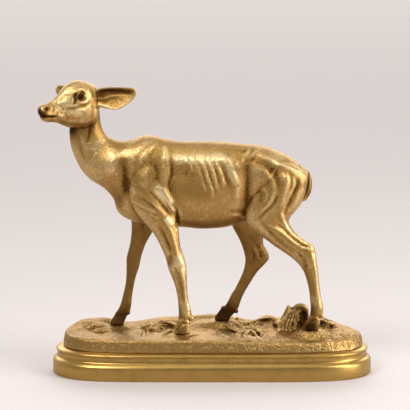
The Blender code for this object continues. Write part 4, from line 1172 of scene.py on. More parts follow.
@dataclass
class Doe:
    """The doe: trunk, legs, hooves, head, ears and tail in one casting."""

    # Where the head sits, how it turns and dips, and how far from its middle its strokes work
    poll: Vector = Vector((-61.7, 0.0, 156.0))
    head_yaw: float = math.radians(30.0)
    head_pitch: float = math.radians(14.0)
    head_half: float = 9.0
    # The balls of the eyes, and how finely they are drawn round and down
    eye: Vector = Vector((14.6, 5.7, 2.8))
    eye_radius: float = 2.6
    eye_mesh: tuple = (32, 20)
    # The ears: how far from their middle their strokes work, and how their edges rise round the cup
    ear_half: float = 4.5
    ear_loft: Loft = Loft(bluntness=0.45)
    ear_middle: float = 1.2
    ear_cup: float = 2.6
    ear_settle: float = 0.2
    ear_above: float = 3.6
    ear_below: float = 9.0
    # The claws of the hooves: their slopes, their tops over the coronet, how far apart and how wide they are
    hoof_wall: float = 1.2
    hoof_slope: float = 0.6
    heel_slope: float = 0.2
    claw_loft: Loft = Loft(24, 4)
    claw_inset: float = 0.8
    claw_above: float = 1.5
    claw_below: float = 0.5
    claw_apart_top: float = 1.2
    claw_apart_sole: float = 1.55
    claw_halves: tuple = (1.3, 1.55, 1.75)
    claw_points: tuple = (0.1, 0.3)
    # The dewclaws
    dewclaw_apart: float = 1.5
    dewclaw_halves: tuple = (1.2, 0.9, 1.4, 1.0)
    dewclaw_mesh: tuple = (20, 14)
    # The limbs, and the skin that they are joined in
    limb_loft: Loft = Loft()
    voxel: float = 0.34
    smoothing: int = 6
    triangles: int = 192000
    # The chased hair, coarse and fine, and how much deeper it is on the shoulders
    coarse_hair: tuple = (1.7, 1.7, 2.3)
    coarse_depth: float = 0.045
    fine_hair: tuple = (0.8, 0.8, 1.1)
    fine_depth: float = 0.055
    coat_depth: float = 0.035
    # Rounds and depth that find fine and broad hollows, the share of each, and how bright a ridge can be
    fine_hollow: tuple = (12, 0.14)
    fine_share: float = 0.42
    broad_hollow: tuple = (60, 0.6)
    broad_share: float = 0.75
    ridge_limit: float = -0.5
    # Patina and painted shade: their limit, painted shade low on the inner sides of the far legs in the
    # shadow of the belly, and a darkening of the back's upward faces
    darkest: float = 1.2
    low_span: tuple = (104.0, 78.0)
    inner_span: tuple = (0.0, 4.0)
    inner_facing: tuple = (0.5, -0.5)
    low_painted_shade: float = 0.42
    darkening_span: tuple = (110.0, 118.0)
    darkening_facing: tuple = (0.5, 1.0)
    darkening_strength: float = 0.12

    def head_frame(self) -> Matrix:
        """Work out the head's frame.

        Returns:
            The frame: x from the poll to the nose, y to her left side, z to the crown.
        """
        level = Vector((-math.cos(self.head_yaw), -math.sin(self.head_yaw), 0.0))
        side = Vector((math.sin(self.head_yaw), -math.cos(self.head_yaw), 0.0))
        up = Vector((0.0, 0.0, 1.0))
        along = level * math.cos(self.head_pitch) - up * math.sin(self.head_pitch)
        crown = level * math.sin(self.head_pitch) + up * math.cos(self.head_pitch)
        turn = Matrix((along, side, crown)).transposed()
        return Matrix.Translation(self.poll) @ turn.to_4x4()

    def add_ear(self, mesh: BMesh, ear: Ear) -> None:
        """Add an ear, whose edges rise round the bottom of its cup.

        Args:
            mesh: The mesh that takes the ear.
            ear: How the ear lies.
        """
        turn = ear.frame()
        stretch = (ear.tip - ear.root).length / EAR[-1].front_x

        def place(x: float, y: float, z: float) -> Vector:
            """Place one point of the ear."""
            edge = (z - self.ear_middle) / (self.ear_above if z > self.ear_middle else self.ear_below)
            return turn @ Vector((x * stretch, y + self.ear_cup * (edge * edge - self.ear_settle), z))

        self.ear_loft.skin(mesh, EAR, place)

    def add_hoof(self, mesh: BMesh, hoof: Hoof) -> None:
        """Add the two claws of a hoof and the two dewclaws behind its fetlock.

        Args:
            mesh: The mesh that takes them.
            hoof: The hoof's own sizes.
        """
        front_x, front_z = hoof.coronet_front
        back_x, back_z = hoof.coronet_back
        dewclaw_x, dewclaw_z = hoof.dewclaw
        heel_x = hoof.heel_x - self.heel_slope
        wall_z = hoof.sole_z + self.hoof_wall
        half_top, half_coronet, half_sole = self.claw_halves
        coronet_point, sole_point = self.claw_points
        around, rings = self.dewclaw_mesh
        top_z, low_z = self.claw_above, self.claw_below
        inset, slope = self.claw_inset, self.hoof_slope
        for side in (-1, 1):
            y_top = hoof.y + side * self.claw_apart_top
            y_low = hoof.y + side * self.claw_apart_sole
            claw = rows_of(
                Section,
                (front_x + inset, front_z + top_z, back_x - inset, back_z + top_z, y_top, half_top),
                (front_x, front_z - low_z, back_x, back_z - low_z, y_top, half_coronet, coronet_point),
                (hoof.toe_x + slope, wall_z + slope, hoof.heel_x, wall_z, y_low, half_sole, sole_point),
                (hoof.toe_x, hoof.sole_z, heel_x, hoof.sole_z, y_low, half_sole, sole_point),
            )
            self.claw_loft.skin(mesh, claw)
            middle = Matrix.Translation((dewclaw_x, hoof.y + side * self.dewclaw_apart, dewclaw_z))
            place = middle @ Matrix.Diagonal(self.dewclaw_halves)
            bmesh.ops.create_uvsphere(mesh, u_segments=around, v_segments=rings, radius=1.0, matrix=place)

    def model(self) -> Clay:
        """Join the limbs.

        Returns:
            The doe in one smooth skin.
        """
        mesh = bmesh.new()
        for limb in (TRUNK, NEAR_HIND, FAR_HIND, NEAR_FORE, FAR_FORE, TAIL):
            self.limb_loft.skin(mesh, limb)
        head = self.head_frame()
        self.limb_loft.skin(mesh, HEAD, framed(head))
        around, rings = self.eye_mesh
        for side in (-1, 1):
            ball = Matrix.Translation(head @ Vector((self.eye.x, self.eye.y * side, self.eye.z)))
            bmesh.ops.create_uvsphere(
                mesh, u_segments=around, v_segments=rings, radius=self.eye_radius, matrix=ball
            )
        self.add_ear(mesh, NEAR_EAR)
        self.add_ear(mesh, FAR_EAR)
        for hoof in HOOVES:
            self.add_hoof(mesh, hoof)
        return Clay(joined("doe", mesh, self.voxel, self.smoothing))

    def sculpt(self, clay: Clay) -> None:
        """Cut and raise muscles, bones, tendons and the face, then the chased hair.

        Args:
            clay: The doe's smooth skin, changed in place.
        """
        head = self.head_frame()
        clay.push(clay.traced(SHOULDER_STROKES + FLANK_STROKES + LEG_STROKES, LEVEL))
        clay.push(clay.traced(HEAD_STROKES, head, self.head_half))
        clay.push(clay.traced(EAR_STROKES, NEAR_EAR.frame(), self.ear_half))
        clay.push(clay.blobs(DOE_SWELLS, LEVEL) + clay.blobs(HEAD_SWELLS, head))
        coat = clay.blobs(COAT, LEVEL) * self.coat_depth
        lumps = clay.grain(self.coarse_hair) * (self.coarse_depth + coat)
        clay.push(lumps + clay.grain(self.fine_hair) * (self.fine_depth + coat))

    def patina_and_shade(self, clay: Clay) -> np.ndarray:
        """Find the patina in the face and the hollows, the painted shade under the jaw and belly, in the
        ears and low on the far legs, and the darkening of the back.

        Args:
            clay: The finished skin.

        Returns:
            The strength of the patina and painted shade at every point.
        """
        head = self.head_frame()
        dark_patina_and_shade = clay.blobs(HEAD_PATINA_AND_SHADE, head) + clay.blobs(BODY_PATINA_AND_SHADE, LEVEL)
        # Painted shade in the hollow of the near ear
        dark_patina_and_shade += clay.blobs(EAR_SHADE, NEAR_EAR.frame())
        dark_patina_and_shade += clay.traced(STAINS_AND_SHADE, LEVEL) + clay.traced(HEAD_STAINS_AND_SHADE, head, self.head_half)
        y, z = clay.points.T[1:]
        # Painted shade low on the inner sides of the far legs, in the shadow of the belly
        inner = ramp(y, *self.inner_span) * ramp(clay.normals[:, 1], *self.inner_facing)
        low = ramp(z, *self.low_span) * inner * self.low_painted_shade
        # Darker on the upward faces of the back, high on the body
        darkening = ramp(clay.normals[:, 2], *self.darkening_facing) * ramp(z, *self.darkening_span)
        return np.clip(dark_patina_and_shade, 0.0, self.darkest) + low + darkening * self.darkening_strength

    def build(self) -> bpy.types.Object:
        """Build and dress the doe.

        Returns:
            The finished piece.
        """
        clay = self.model()
        self.sculpt(clay)
        clay.thin(self.triangles, "gilt_doe")
        fine = clay.hollows(*self.fine_hollow) * self.fine_share
        broad = np.maximum(clay.hollows(*self.broad_hollow), self.ridge_limit) * self.broad_share
        # Painted highlights go in among the hollows as negative values, which the finish turns pale
        painted_highlights = clay.blobs(PAINTED_BODY_HIGHLIGHTS, LEVEL) + clay.blobs(PAINTED_HEAD_HIGHLIGHTS, self.head_frame())
        clay.mark("hollow_and_highlight", fine + broad - painted_highlights)
        clay.mark("patina_and_shade", self.patina_and_shade(clay))
        return finished(clay, HIDE, "gilt_doe", "doe")


# Mounds of the earth: middle, reach along and across, and rise over the front rim
MOUNDS = (
    (-66, 15, 16, 13, 4.1), (-26, 18, 12, 12, 4), (-1, 19, 12, 13, 5.4), (35, 18, 14, 13, 4.6),
    (61, 15, 10, 12, 4), (76, 2, 12, 14, 1.5), (43, 1, 9, 8, 2.2),
)

# Leaves and blades, and the tips of the fern's fronds, seen from above
LEAVES = rows_of(
    Leaf,
    ((-70, 2.5), (-59, 5.5), 1.4, 1.1, 0.4), ((-67, -2.5), (-57, -2), 1.4, 1.1, 0.2),
    ((-40, 5), (-29, 3), 2.3, 2.2, 0.3), ((-38, 2), (-27, -1), 1.5, 1.5, 0.2),
    ((-28, 9), (-18, 6), 2.2, 2, 0.6), ((-27, -12), (-20.5, -2.5), 1.2, 1.4, 0.4),
    ((-7, -12), (-15.5, -15.4), 0.8, 0.8, 0), ((8, 4), (16, -3), 2.4, 2, 0.6),
    ((25, 15), (37, 12.5), 3, 1.9, 0.2), ((14, 12), (24, 15), 2.2, 1.2, 0.2),
    ((34, 6), (40, -1), 2, 2, 0.8), ((59, 9), (66, 6.5), 3.2, 2.4, 1.2), ((63, 3), (69, 5), 2.2, 2, 0.8),
)
FERN_TIPS = ((13, -8), (18, -10.5), (25.5, -12.5), (30, -9), (31, -3), (26, 6), (19.5, 7))

# Slits, veins and blades on the earth, seen from above
EARTH_STROKES = strokes(
    Face.FLANKS,
    (0.6, -0.7, (-65.5, 1), (-62.5, -1), (-59.5, -0.5)),
    (0.5, 0.35, (-66, 2.5), (-62.5, 2), (-59.5, 1)),
    (0.5, 0.3, (-66.5, 4), (-64, 5.5), (-60.5, 3.5)),
    (0.6, 0.4, (-59.5, 15), (-58, 13)),
    (0.6, -0.5, (-58.5, 15), (-56.5, 9)),
    (0.7, -0.35, (-72, 9), (-71, 3)),
    (0.5, -0.3, (-68, 4), (-67.5, 6)),
    (0.5, -0.6, (-31, 8.5), (-34, 6), (-36.5, 3.5)),
    (0.5, -0.6, (-32.5, 10), (-36, 8), (-38, 6)),
    (0.6, -0.7, (-30.5, 5.5), (-32.5, 2.5), (-34.5, 0.5)),
    (0.5, 0.5, (-31.5, 7.5), (-34.5, 4), (-37, 1.5)),
    (0.5, 0.5, (-30.5, 9.5), (-33.5, 8.5), (-37, 8)),
    (0.9, 0.6, (-30.5, 10.5), (-27, 11.5), (-23, 11)),
    (0.8, 0.5, (-29.5, 6), (-27, 8), (-23, 7.5)),
    (0.7, -0.8, (-28.5, 5), (-27.5, 1.5)),
    (0.5, -0.5, (-26.5, 8.5), (-24, 9)),
    (1.2, -1.2, (-25, 12), (-22, 11), (-19, 10)),
    (0.5, -0.4, (-29.5, 7.5), (-26, 9)),
    (0.45, 0.35, (-39, -1.5), (-40.5, -14)),
    (0.45, 0.35, (-37.5, 0), (-38, -10)),
    (0.45, 0.35, (-36, 0), (-33.5, -9)),
    (0.45, 0.35, (-34, 0.5), (-29.5, -8)),
    (0.4, -0.3, (-38, -1.5), (-39.5, -14)),
    (0.4, -0.3, (-36.5, -1.5), (-36, -10.5)),
    (0.4, -0.3, (-35, -1.5), (-31.5, -10)),
    (0.8, 0.6, (0.5, -7), (5.5, -8.5), (10, -18)),
    (1, -1, (9.5, 7), (12, 7), (15, 7)),
    (0.9, -0.9, (12, 5), (15.5, 5)),
    (0.7, 0.6, (10.5, 10), (14, 21), (16.5, 10)),
    (0.5, 0.5, (21.5, 8.5), (23.5, 14), (26, 16)),
    (0.5, 0.5, (22, 6.5), (25, 11.5), (27.5, 12)),
    (0.5, 0.45, (22.5, 4), (25.5, 7), (28.5, 7)),
    (0.5, 0.4, (21, 8.5), (22, 14.5), (23.5, 17)),
    (0.4, -0.5, (23, 10), (24.5, 14), (26, 14)),
    (0.4, -0.5, (23, 7), (25.5, 10), (27.5, 10)),
    (0.7, -1, (21.5, 0), (24, -4), (27.5, -14)),
    (0.6, 0.5, (22, 2), (25.5, -3), (28, -8)),
    (0.6, 0.4, (20.5, -1.5), (23, -7), (25.5, -17)),
    (0.5, 0.4, (20, 1), (18, -7), (17.5, -16)),
    (0.5, 0.4, (18.5, 3), (15.5, -2), (13, -11)),
    (0.4, -0.4, (19, 0), (16.5, -7.5), (15.5, -16)),
    (0.4, -0.4, (17.5, 4.5), (14.5, 2), (12, -1.5)),
    (1, -1.1, (26.5, 12), (28, 7)),
    (0.8, -1, (34.5, 11), (35, 6), (38, 3)),
    (0.7, 0.5, (36.5, 12), (37.5, 8), (39.5, 5)),
    (0.6, -0.7, (36, 3.5), (40, 4), (48.5, 5)),
    (0.8, -0.9, (49, -9), (53, -13), (58.5, -6.5)),
    (0.8, 0.7, (60, 10), (64, 13), (67.5, 14), (69, 9)),
    (1.3, -1.2, (60.5, 7), (63.5, 9), (65.5, 6)),
    (0.9, -0.7, (76, -14), (77, -24)),
    (0.9, -0.5, (70.5, -8), (72.5, -14)),
    (0.9, -0.5, (65, -9.5), (66.5, -18)),
    (0.7, 0.4, (-4, 5), (-3.5, 4)),
)

# The broken stump, sliced from its left foot over its top to its right foot, its strands and its cuts
STUMP = rows_of(
    Section,
    (35.6, 26, 36.6, 22.5, 2.4, 3.6), (37.6, 28, 38.4, 22.5, 2.4, 4.4), (39.4, 31, 40, 22.5, 2.4, 4.6),
    (40.8, 34.2, 41.5, 22.5, 2.4, 4.4), (42.2, 36.3, 43, 21.5, 2.4, 4.4),
    (44.2, 35.4, 44.6, 21.5, 2.4, 4.6), (46.8, 36.9, 47, 21.5, 2.4, 4.8),
    (49.4, 37.4, 49.4, 21.5, 2.4, 4.6), (51.6, 36.8, 51.4, 21.5, 2.4, 4.2),
    (53.2, 34.9, 53, 21.5, 2.4, 3.2), (54, 30, 53.8, 21.5, 2.4, 2),
)
STUMP_FIBRES = (
    ((43.4, 34.6), (40.6, 31), (38.2, 27.5), (36.6, 22.5)),
    ((44.2, 34.8), (42, 31.2), (40, 27.5), (38.8, 22.5)),
    ((45, 34.8), (43.4, 31.2), (41.9, 27.5), (41.1, 22.5)),
    ((45.8, 34.8), (44.8, 31.2), (43.8, 27.5), (43.4, 22.5)),
    ((46.6, 34.6), (46.3, 31.2), (45.9, 27.5), (45.8, 22.5)), ((47.4, 34.2), (47.6, 31.6), (47.8, 28.5)),
)
STUMP_STROKES = strokes(
    Face.NEAR,
    (1.7, -2.6, (49.4, 34.2), (51.2, 32.4), (52, 29.6), (51.4, 27.2)),
    (0.8, 0.7, (45.6, 36), (48.8, 36.7), (51.8, 35.8), (53.4, 33.2)),
    (0.6, -0.8, (45.4, 34.9), (48.8, 35.4), (51.2, 34.4)),
    (0.6, 0.6, (41.6, 35.6), (42.8, 36.2), (43.2, 34.6)),
    (0.4, -0.3, (41.4, 34), (39.4, 30), (37.4, 26)),
    (0.4, -0.35, (43.4, 33.6), (41.4, 29), (39.6, 25)),
    (0.4, -0.35, (44.9, 33.6), (43.2, 29), (41.8, 25)),
    (0.4, -0.35, (46.2, 33.6), (45.2, 29), (44.4, 25)),
) + strokes(
    Face.FLANKS,
    (0.5, -1, (44.2, 36.6), (44.5, 34.4)),
) + strokes(
    Face.FAR,
    (0.5, -0.5, (42, 34), (41.4, 29), (40.4, 26)),
    (0.6, -0.6, (46, 35), (46.4, 30), (46, 26)),
    (0.6, -0.6, (50.4, 35), (50.4, 30), (50.8, 26)),
)

# Dark patina in the hollow of the stump, and painted shadows under the leaves
STUMP_PATINA_AND_LEAF_SHADOWS = rows_of(
    Swell,
    (50.6, -0.6, 31, 2.6, 2), (50.6, -0.6, 27.8, 2.6, 2), (47, 2, 36.6, 5, 0.35), (64, 9, 25, 2.2, 0.6),
    # Painted shadows under the leaves
    (14, 6, 24, 2.4, 0.5), (-22, 11, 25.5, 2.4, 0.6),
)


@dataclass
class Plan:
    """The oval plan that the ground and the plinth share."""

    length: float = 176.4
    depth: float = 58.6
    # At the edge, the shares of the half length and the half depth, each to its power, add up to 1
    long_power: float = 6.0
    short_power: float = 2.0

    def point(self, inset: float, shrink: float, along: float, across: float) -> tuple:
        """Return the plan's point for a point of the unit circle.

        Args:
            inset: How far inside the plinth's edge.
            shrink: Scale about the middle.
            along: The circle point's x.
            across: The circle point's y.

        Returns:
            The x and y of the plan's point.
        """
        half_length = (self.length / 2 - inset) * shrink
        half_depth = (self.depth / 2 - inset) * shrink
        x = math.copysign(abs(along) ** (2.0 / self.long_power), along) * half_length
        y = math.copysign(abs(across) ** (2.0 / self.short_power), across) * half_depth
        return x, y

    def edge_share(self, x: float, y: float) -> float:
        """Return how near a point is to the plan's edge, from 0 in the middle to 1."""
        return (abs(x) / self.length * 2) ** self.long_power + (y / self.depth * 2) ** self.short_power


@dataclass
class Ground:
    """The terrace of earth, with its leaves, its fern and the broken stump."""

    plan: Plan
    # The terrace: its foot on the plinth, its wall and its rim
    foot: float = 15.02
    foot_inset: float = 5.2
    rim_inset: float = 6.5
    shift: float = 0.6
    foot_curve: float = 0.2
    foot_rise: float = 0.35
    rim_round: float = 0.35
    rim_rise: float = 0.85
    # The lie of the earth: its height and rise to the back, and how its edge falls towards the tail
    rim_height: float = 21.8
    back_rise: float = 0.7
    edge_fall: float = 2.4
    edge_reach: float = 1.5
    edge_power: int = 3
    fall_start: float = 6.0
    fall_blend: float = 26.0
    # Ripples of the earth, and its level pads under the hooves, a gap below their soles
    ripple: float = 0.35
    ripple_along: float = 0.31
    ripple_across: float = 0.33
    ripple_start: float = 0.7
    pad_reach: float = 4.6
    pad_blend: float = 5.0
    pad_stretch: float = 1.3
    gap: float = 0.3
    # How finely the terrace is drawn round and inwards
    sides: int = 240
    rings: int = 30
    # Leaves: how finely they are drawn, how they lie, taper and arch, and their folds and veins
    leaf_loft: Loft = Loft(24, 4)
    leaf_rows: int = 9
    leaf_thick: float = 0.9
    leaf_sink: float = 0.6
    leaf_settle: float = 0.15
    leaf_stalk: float = 0.25
    leaf_start: float = 0.08
    leaf_end: float = 0.98
    arch_power: float = 0.8
    fold: float = 0.35
    vein: float = 0.14
    vein_along: float = 26.0
    vein_lean: float = 1.6
    # The fern's fronds, which are leaves from one root
    fern_root: tuple = (21.0, -1.0)
    fern_half: float = 1.0
    fern_arch: float = 1.3
    fern_drop: float = -0.2
    # The stump, how far from its middle its strokes work, and its strands
    stump_loft: Loft = Loft()
    stump_y: float = 2.4
    stump_half: float = 9.0
    fibre_loft: Loft = Loft(16, 5)
    fibre_face: float = -2.2
    fibre_lean: float = -0.45
    fibre_radius: float = 0.6
    fibre_spread: float = 0.2
    # The joined skin
    voxel: float = 0.38
    smoothing: int = 2
    triangles: int = 185000
    # Where the earth is worked: above its foot, where it doesn't look down, and most at the right front
    plain_foot: tuple = (0.6, 1.8)
    upward: tuple = (-0.9, 0.1)
    right_span: tuple = (-5.0, 25.0)
    front_span: tuple = (4.0, -8.0)
    # The stippling: punched pebbles, coarse and fine grain, and combed grass
    pebble: float = 0.9
    pebble_level: float = 0.55
    pebble_depth: float = 0.20
    coarse_grain: tuple = (3.4, 3.4, 3.4)
    coarse_depth: float = 0.16
    coarse_right: float = 0.14
    fine_grain: tuple = (0.8, 0.8, 0.8)
    fine_depth: float = 0.14
    fine_right: float = 0.10
    grass: tuple = (2.4, 0.8, 2.0)
    grass_depth: float = 0.12
    # Rounds and depth that find fine and broad hollows, the share of each, and how bright the wall is
    fine_hollow: tuple = (8, 0.16)
    fine_share: float = 0.6
    broad_hollow: tuple = (50, 0.8)
    broad_share: float = 0.7
    wall_facing: tuple = (0.625, 0.0)
    wall_share: float = 0.2
    # Patina in the deepest hollows, and a darkening of the earth's upper faces towards the head
    deep_start: float = 0.55
    deep_patina: float = 0.8
    darkening_span: tuple = (-15.0, -45.0)
    darkening_strength: float = 0.16

    def height(self, x: float, y: float) -> float:
        """Work out the height of the earth, level under each hoof.

        Args:
            x: A place along the plinth.
            y: The same place across it.

        Returns:
            The height there.
        """
        height = self.rim_height + self.back_rise * (y + self.plan.depth / 2) / self.plan.depth
        for middle_x, middle_y, reach_x, reach_y, rise in MOUNDS:
            height += rise * math.exp(-((x - middle_x) / reach_x) ** 2 - ((y - middle_y) / reach_y) ** 2)
        ripple = math.sin(x * self.ripple_along + self.ripple_start) * math.cos(y * self.ripple_across)
        height += self.ripple * ripple
        edge = min(self.plan.edge_share(x, y) * self.edge_reach, 1.0) ** self.edge_power
        height -= self.edge_fall * edge * eased((x - self.fall_start) / self.fall_blend)
        for hoof in HOOVES:
            middle_x = (hoof.toe_x + hoof.heel_x) / 2
            distance = math.hypot((x - middle_x) / self.pad_stretch, y - hoof.y)
            share = eased((distance - self.pad_reach) / self.pad_blend)
            height = (hoof.sole_z - self.gap) * (1 - share) + height * share
        return height

    def spot(self, inset: float, shrink: float, rise: float, along: float, across: float) -> tuple:
        """Place a point of the unit circle on a round of the terrace.

        Args:
            inset: How far the round is inside the plinth's edge.
            shrink: Its scale about the middle.
            rise: Its share of the way from the foot up to the earth.
            along: The circle point's x.
            across: The circle point's y.

        Returns:
            The point's place.
        """
        x, y = self.plan.point(inset, shrink, along, across)
        x += self.shift
        return x, y, self.foot + (self.height(x, y) - self.foot) * rise

    def add_terrace(self, mesh: BMesh) -> None:
        """Add the earth: rounds from its foot up over the rim and in to the middle.

        Args:
            mesh: The mesh that takes it.
        """
        wall = (self.foot_inset + self.foot_curve, 1.0, self.foot_rise)
        rim = (self.rim_inset - self.rim_round, 1.0, self.rim_rise)
        rounds = [(self.foot_inset, 1.0, 0.0), wall, rim]
        top = self.rim_inset + self.rim_round
        rounds += [(top, 1 - step / self.rings, 1.0) for step in range(self.rings)]
        add_tube(mesh, self.sides, [partial(self.spot, *row) for row in rounds])

    def add_leaf(self, mesh: BMesh, leaf: Leaf) -> None:
        """Add one leaf that arches from its root to its tip, with a sunk midrib and veins.

        Args:
            mesh: The mesh that takes it.
            leaf: The leaf's own sizes.
        """
        root = Vector((*leaf.root, 0.0))
        along = Vector((*leaf.tip, 0.0)) - root
        across = Vector((-along.y, along.x, 0.0)).normalized()

        def place(x: float, y: float, z: float) -> Vector:
            """Place a point of the leaf.

            Args:
                x: Its share of the way from the leaf's root to its tip.
                y: Its height in the leaf's thickness.
                z: How far it lies from the midrib.

            Returns:
                The point's place on the earth.
            """
            spot = root + along * x
            bend = leaf.arch * math.sin(math.pi * min(max(x, 0.0), 1.0) ** self.arch_power)
            lift = self.height(spot.x, spot.y) - self.leaf_sink + bend + leaf.lift * x + y - self.leaf_settle
            if y > 0:
                lift += self.vein * math.sin(self.vein_along * x - self.vein_lean * abs(z))
                lift += self.fold * abs(z) / leaf.half
            return Vector((spot.x, spot.y, lift)) + across * z

        rows = []
        for step in range(self.leaf_rows):
            share = step / (self.leaf_rows - 1)
            swell = math.sin(math.pi * (self.leaf_start + share * (self.leaf_end - self.leaf_start)))
            width = leaf.half * (self.leaf_stalk + (1 - self.leaf_stalk) * swell)
            rows.append(Section(share, -width, share, width, 0.0, self.leaf_thick))
        self.leaf_loft.skin(mesh, rows, place)

    def add_fibre(self, mesh: BMesh, route: tuple) -> None:
        """Add one strand of wood on the face of the stump, leaning out towards its foot.

        Args:
            mesh: The mesh that takes it.
            route: The strand's points, seen from the side, from its top down.
        """
        rows = []
        for step, (x, z) in enumerate(route):
            y = self.fibre_face + self.fibre_lean * step
            half = self.fibre_radius + self.fibre_spread * step
            rows.append(Section(x - half, z, x + half, z, y, half))
        self.fibre_loft.skin(mesh, rows)

    def model(self) -> Clay:
        """Join the earth, the leaves and the stump.

        Returns:
            The ground in one skin.
        """
        mesh = bmesh.new()
        self.add_terrace(mesh)
        for leaf in LEAVES:
            self.add_leaf(mesh, leaf)
        for tip in FERN_TIPS:
            self.add_leaf(mesh, Leaf(self.fern_root, tip, self.fern_half, self.fern_arch, self.fern_drop))
        self.stump_loft.skin(mesh, STUMP)
        for route in STUMP_FIBRES:
            self.add_fibre(mesh, route)
        return Clay(joined("ground", mesh, self.voxel, self.smoothing))

    def sculpt(self, clay: Clay) -> None:
        """Cut the leaves and the stump and stipple the earth, and leave its foot and underside plain.

        Args:
            clay: The ground's skin, changed in place.
        """
        worked = ramp(clay.points[:, 2] - self.foot, *self.plain_foot)
        worked *= ramp(clay.normals[:, 2], *self.upward)
        clay.push(clay.traced(EARTH_STROKES, FROM_ABOVE))
        clay.push(clay.traced(STUMP_STROKES, Matrix.Translation((0.0, self.stump_y, 0.0)), self.stump_half))
        right = ramp(clay.points[:, 0], *self.right_span) * ramp(clay.points[:, 1], *self.front_span)
        punched = (clay.pebbles(self.pebble) - self.pebble_level) * self.pebble_depth * (1.0 + right)
        coarse = clay.grain(self.coarse_grain) * (self.coarse_depth + self.coarse_right * right)
        fine = clay.grain(self.fine_grain) * (self.fine_depth + self.fine_right * right)
        combed = clay.grain(self.grass) * self.grass_depth
        clay.push((punched + coarse + fine + combed) * worked)

    def build(self) -> bpy.types.Object:
        """Build and dress the ground.

        Returns:
            The finished piece.
        """
        clay = self.model()
        self.sculpt(clay)
        clay.thin(self.triangles, "cast_ground")
        fine = clay.hollows(*self.fine_hollow)
        broad = clay.hollows(*self.broad_hollow)
        wall = ramp(np.abs(clay.normals[:, 2]), *self.wall_facing)
        clay.mark("hollow_and_highlight", fine * self.fine_share + broad * self.broad_share - wall * self.wall_share)
        # Darker on the earth's upper faces towards the head
        darkening = ramp(clay.points[:, 0], *self.darkening_span) * (1.0 - wall) * self.darkening_strength
        deep = np.clip(broad - self.deep_start, 0.0, 1.0) * self.deep_patina
        clay.mark("patina_and_shade", deep + clay.blobs(STUMP_PATINA_AND_LEAF_SHADOWS, LEVEL) + darkening)
        return finished(clay, EARTH, "cast_ground", "ground")


@dataclass
class Plinth:
    """The moulded plinth: a plain band, a sloped shoulder, a cove and a torus."""

    plan: Plan
    # The band: its broken lower edge, its top, and the broken edge there
    foot_break: float = 0.5
    foot_round: float = 0.15
    band_top: float = 7.4
    edge_break: float = 0.25
    edge_inset: float = 0.08
    edge_lift: float = 0.05
    # The mouldings above it, from the floor up: pairs of inset and height
    shoulder: tuple = ((0.28, 7.85), (0.6, 8.35), (1.02, 8.8), (1.5, 9.18), (1.98, 9.46))
    cove_foot: tuple = ((2.22, 9.7), (2.36, 10.1), (2.44, 10.7), (2.46, 11.3))
    cove_head: tuple = ((2.42, 11.9), (2.32, 12.4), (2.22, 12.7))
    torus: tuple = ((2.08, 12.9), (1.94, 13.15), (1.9, 13.45), (1.98, 13.75), (2.2, 14.05))
    cap: tuple = ((2.55, 14.3), (3.0, 14.56), (3.5, 14.78), (4.0, 14.93), (4.5, 15.0))
    top_inset: float = 7.0
    top: float = 15.0
    # How finely the plinth is drawn round
    sides: int = 288
    # How the cove is browned: its middle and its reach, how sharply that ends, and how strongly
    cove_middle: float = 11.3
    cove_reach: float = 1.6
    cove_power: int = 4
    cove_hollow: float = 0.1

    def profile(self) -> tuple:
        """Work out the plinth's section.

        Returns:
            Pairs of inset and height, from the floor up.
        """
        foot = ((self.foot_break, 0.0), (self.foot_round, self.foot_round), (0.0, self.foot_break))
        edge = ((0.0, self.band_top - self.edge_break), (self.edge_inset, self.band_top + self.edge_lift))
        top = ((self.top_inset, self.top),)
        return foot + edge + self.shoulder + self.cove_foot + self.cove_head + self.torus + self.cap + top

    def spot(self, inset: float, height: float, along: float, across: float) -> tuple:
        """Return the place of a point of the unit circle on a round of the plinth."""
        return *self.plan.point(inset, 1.0, along, across), height

    def build(self) -> bpy.types.Object:
        """Build and dress the plinth.

        Returns:
            The finished piece.
        """
        mesh = bmesh.new()
        add_tube(mesh, self.sides, [partial(self.spot, *row) for row in self.profile()])
        bmesh.ops.recalc_face_normals(mesh, faces=mesh.faces)
        bmesh.ops.triangulate(mesh, faces=[face for face in mesh.faces if len(face.verts) > 4])
        clay = Clay(as_mesh("gilt_plinth", mesh))
        cove = (clay.points[:, 2] - self.cove_middle) / self.cove_reach
        clay.mark("hollow_and_highlight", self.cove_hollow * np.exp(-(cove ** self.cove_power)))
        clay.mark("patina_and_shade", np.zeros(len(clay.points)))
        return finished(clay, BAND, "gilt_plinth", "plinth")


# The softboxes of the studio
SOFTBOXES = rows_of(
    Softbox,
    ("top_softbox", (0.0, -0.13, 1.02), (0.65, 0.45), 1.0),
    ("left_softbox", (-0.43, -0.57, 0.78), (0.38, 0.34), 5.7),
    ("right_softbox", (0.68, -0.36, 0.72), (0.38, 0.34), 4.0),
    ("low_softbox", (1.0, -0.4, 0.3), (0.6, 0.45), 8.0),
    ("back_softbox", (0.0, 3.6, 2.1), (6.0, 1.8), 104.0),
)


def looking(way: Vector) -> Euler:
    """Return the turn of a camera or a light that looks that way."""
    return way.to_track_quat("-Z", "Y").to_euler()


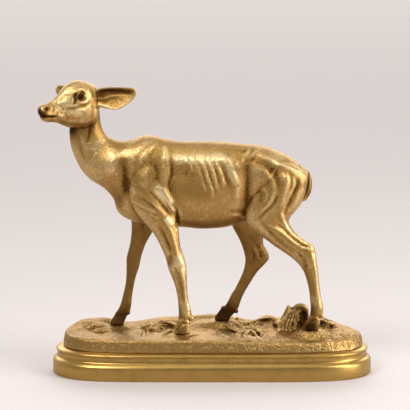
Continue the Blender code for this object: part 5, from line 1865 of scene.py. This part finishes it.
@dataclass
class Studio:
    """The plain pale floor, the soft lights and the camera, in metres, but for the sensor's millimetres."""

    # What the camera looks at, from how far and how high, and how wide a view it has there
    aim: Vector = Vector((-0.00385, 0.0, 0.0931))
    distance: float = 1.4
    elevation: float = math.radians(9.3)
    view_width: float = 0.2255
    sensor: float = 36.0
    clip_start: float = 0.01
    # The floor
    floor_radius: float = 4.0
    floor_sides: int = 96
    floor_colour: tuple = (0.55, 0.501, 0.488, 1.0)
    floor_roughness: float = 0.7
    # The light of the room: its colour, and pairs of how far a way looks to the back and the strength
    room_colour: tuple = (1.0, 0.965, 0.945, 1.0)
    room_front: tuple = (-0.5, 0.21)
    room_back: tuple = (0.6, 0.86)

    def add_camera(self) -> None:
        """Place the camera and look at the middle of the view."""
        lens = bpy.data.cameras.new("camera")
        lens.sensor_width = self.sensor
        lens.lens = self.sensor * self.distance / self.view_width
        lens.clip_start = self.clip_start
        camera = as_object("camera", lens)
        back = Vector((0.0, -math.cos(self.elevation), math.sin(self.elevation)))
        camera.location = self.aim + back * self.distance
        camera.rotation_euler = looking(-back)
        bpy.context.scene.camera = camera

    def add_floor(self) -> None:
        """Lay the round pale floor."""
        mesh = bmesh.new()
        bmesh.ops.create_circle(mesh, cap_ends=True, segments=self.floor_sides, radius=self.floor_radius)
        floor = as_object("floor", as_mesh("floor", mesh))
        finish = bpy.data.materials.new("floor")
        tree = Tree(finish)
        tree.feed(tree.shader, {"Base Color": self.floor_colour, "Roughness": self.floor_roughness})
        floor.data.materials.append(finish)

    def add_softbox(self, box: Softbox) -> None:
        """Add one softbox that looks at the object.

        Args:
            box: The softbox's own sizes.
        """
        light = bpy.data.lights.new(box.name, "AREA")
        light.shape = "RECTANGLE"
        light.size, light.size_y = box.size
        light.energy = box.power
        lamp = as_object(box.name, light)
        lamp.location = box.place
        lamp.rotation_euler = looking(self.aim - Vector(box.place))

    def add_room(self) -> None:
        """Fill the room with soft light that is paler behind the object than in front of it."""
        room = bpy.data.worlds.new("studio")
        tree = Tree(room, "Background")
        way = tree.node("ShaderNodeTexCoord", {}, {}, "Generated")
        back = tree.node("ShaderNodeSeparateXYZ", {}, {0: way}, "Y")
        front_place, front_light = self.room_front
        back_place, back_light = self.room_back
        span = {"From Min": front_place, "From Max": back_place, "To Min": front_light, "To Max": back_light}
        light = tree.node("ShaderNodeMapRange", {}, {"Value": back, **span})
        tree.feed(tree.shader, {"Color": self.room_colour, "Strength": light})
        bpy.context.scene.world = room

    def build(self) -> None:
        """Set up the whole studio."""
        self.add_camera()
        self.add_floor()
        self.add_room()
        for box in SOFTBOXES:
            self.add_softbox(box)
        bpy.context.scene.view_settings.view_transform = "Standard"


def main() -> None:
    """Build the studio and the three castings."""
    logging.basicConfig(level=logging.INFO, format="%(message)s")
    Studio().build()
    plan = Plan()
    for casting in (Plinth(plan), Ground(plan), Doe()):
        piece = casting.build()
        piece.data.calc_loop_triangles()
        log.info("%s: %d triangles", piece.name, len(piece.data.loop_triangles))


if __name__ == "__main__":
    main()
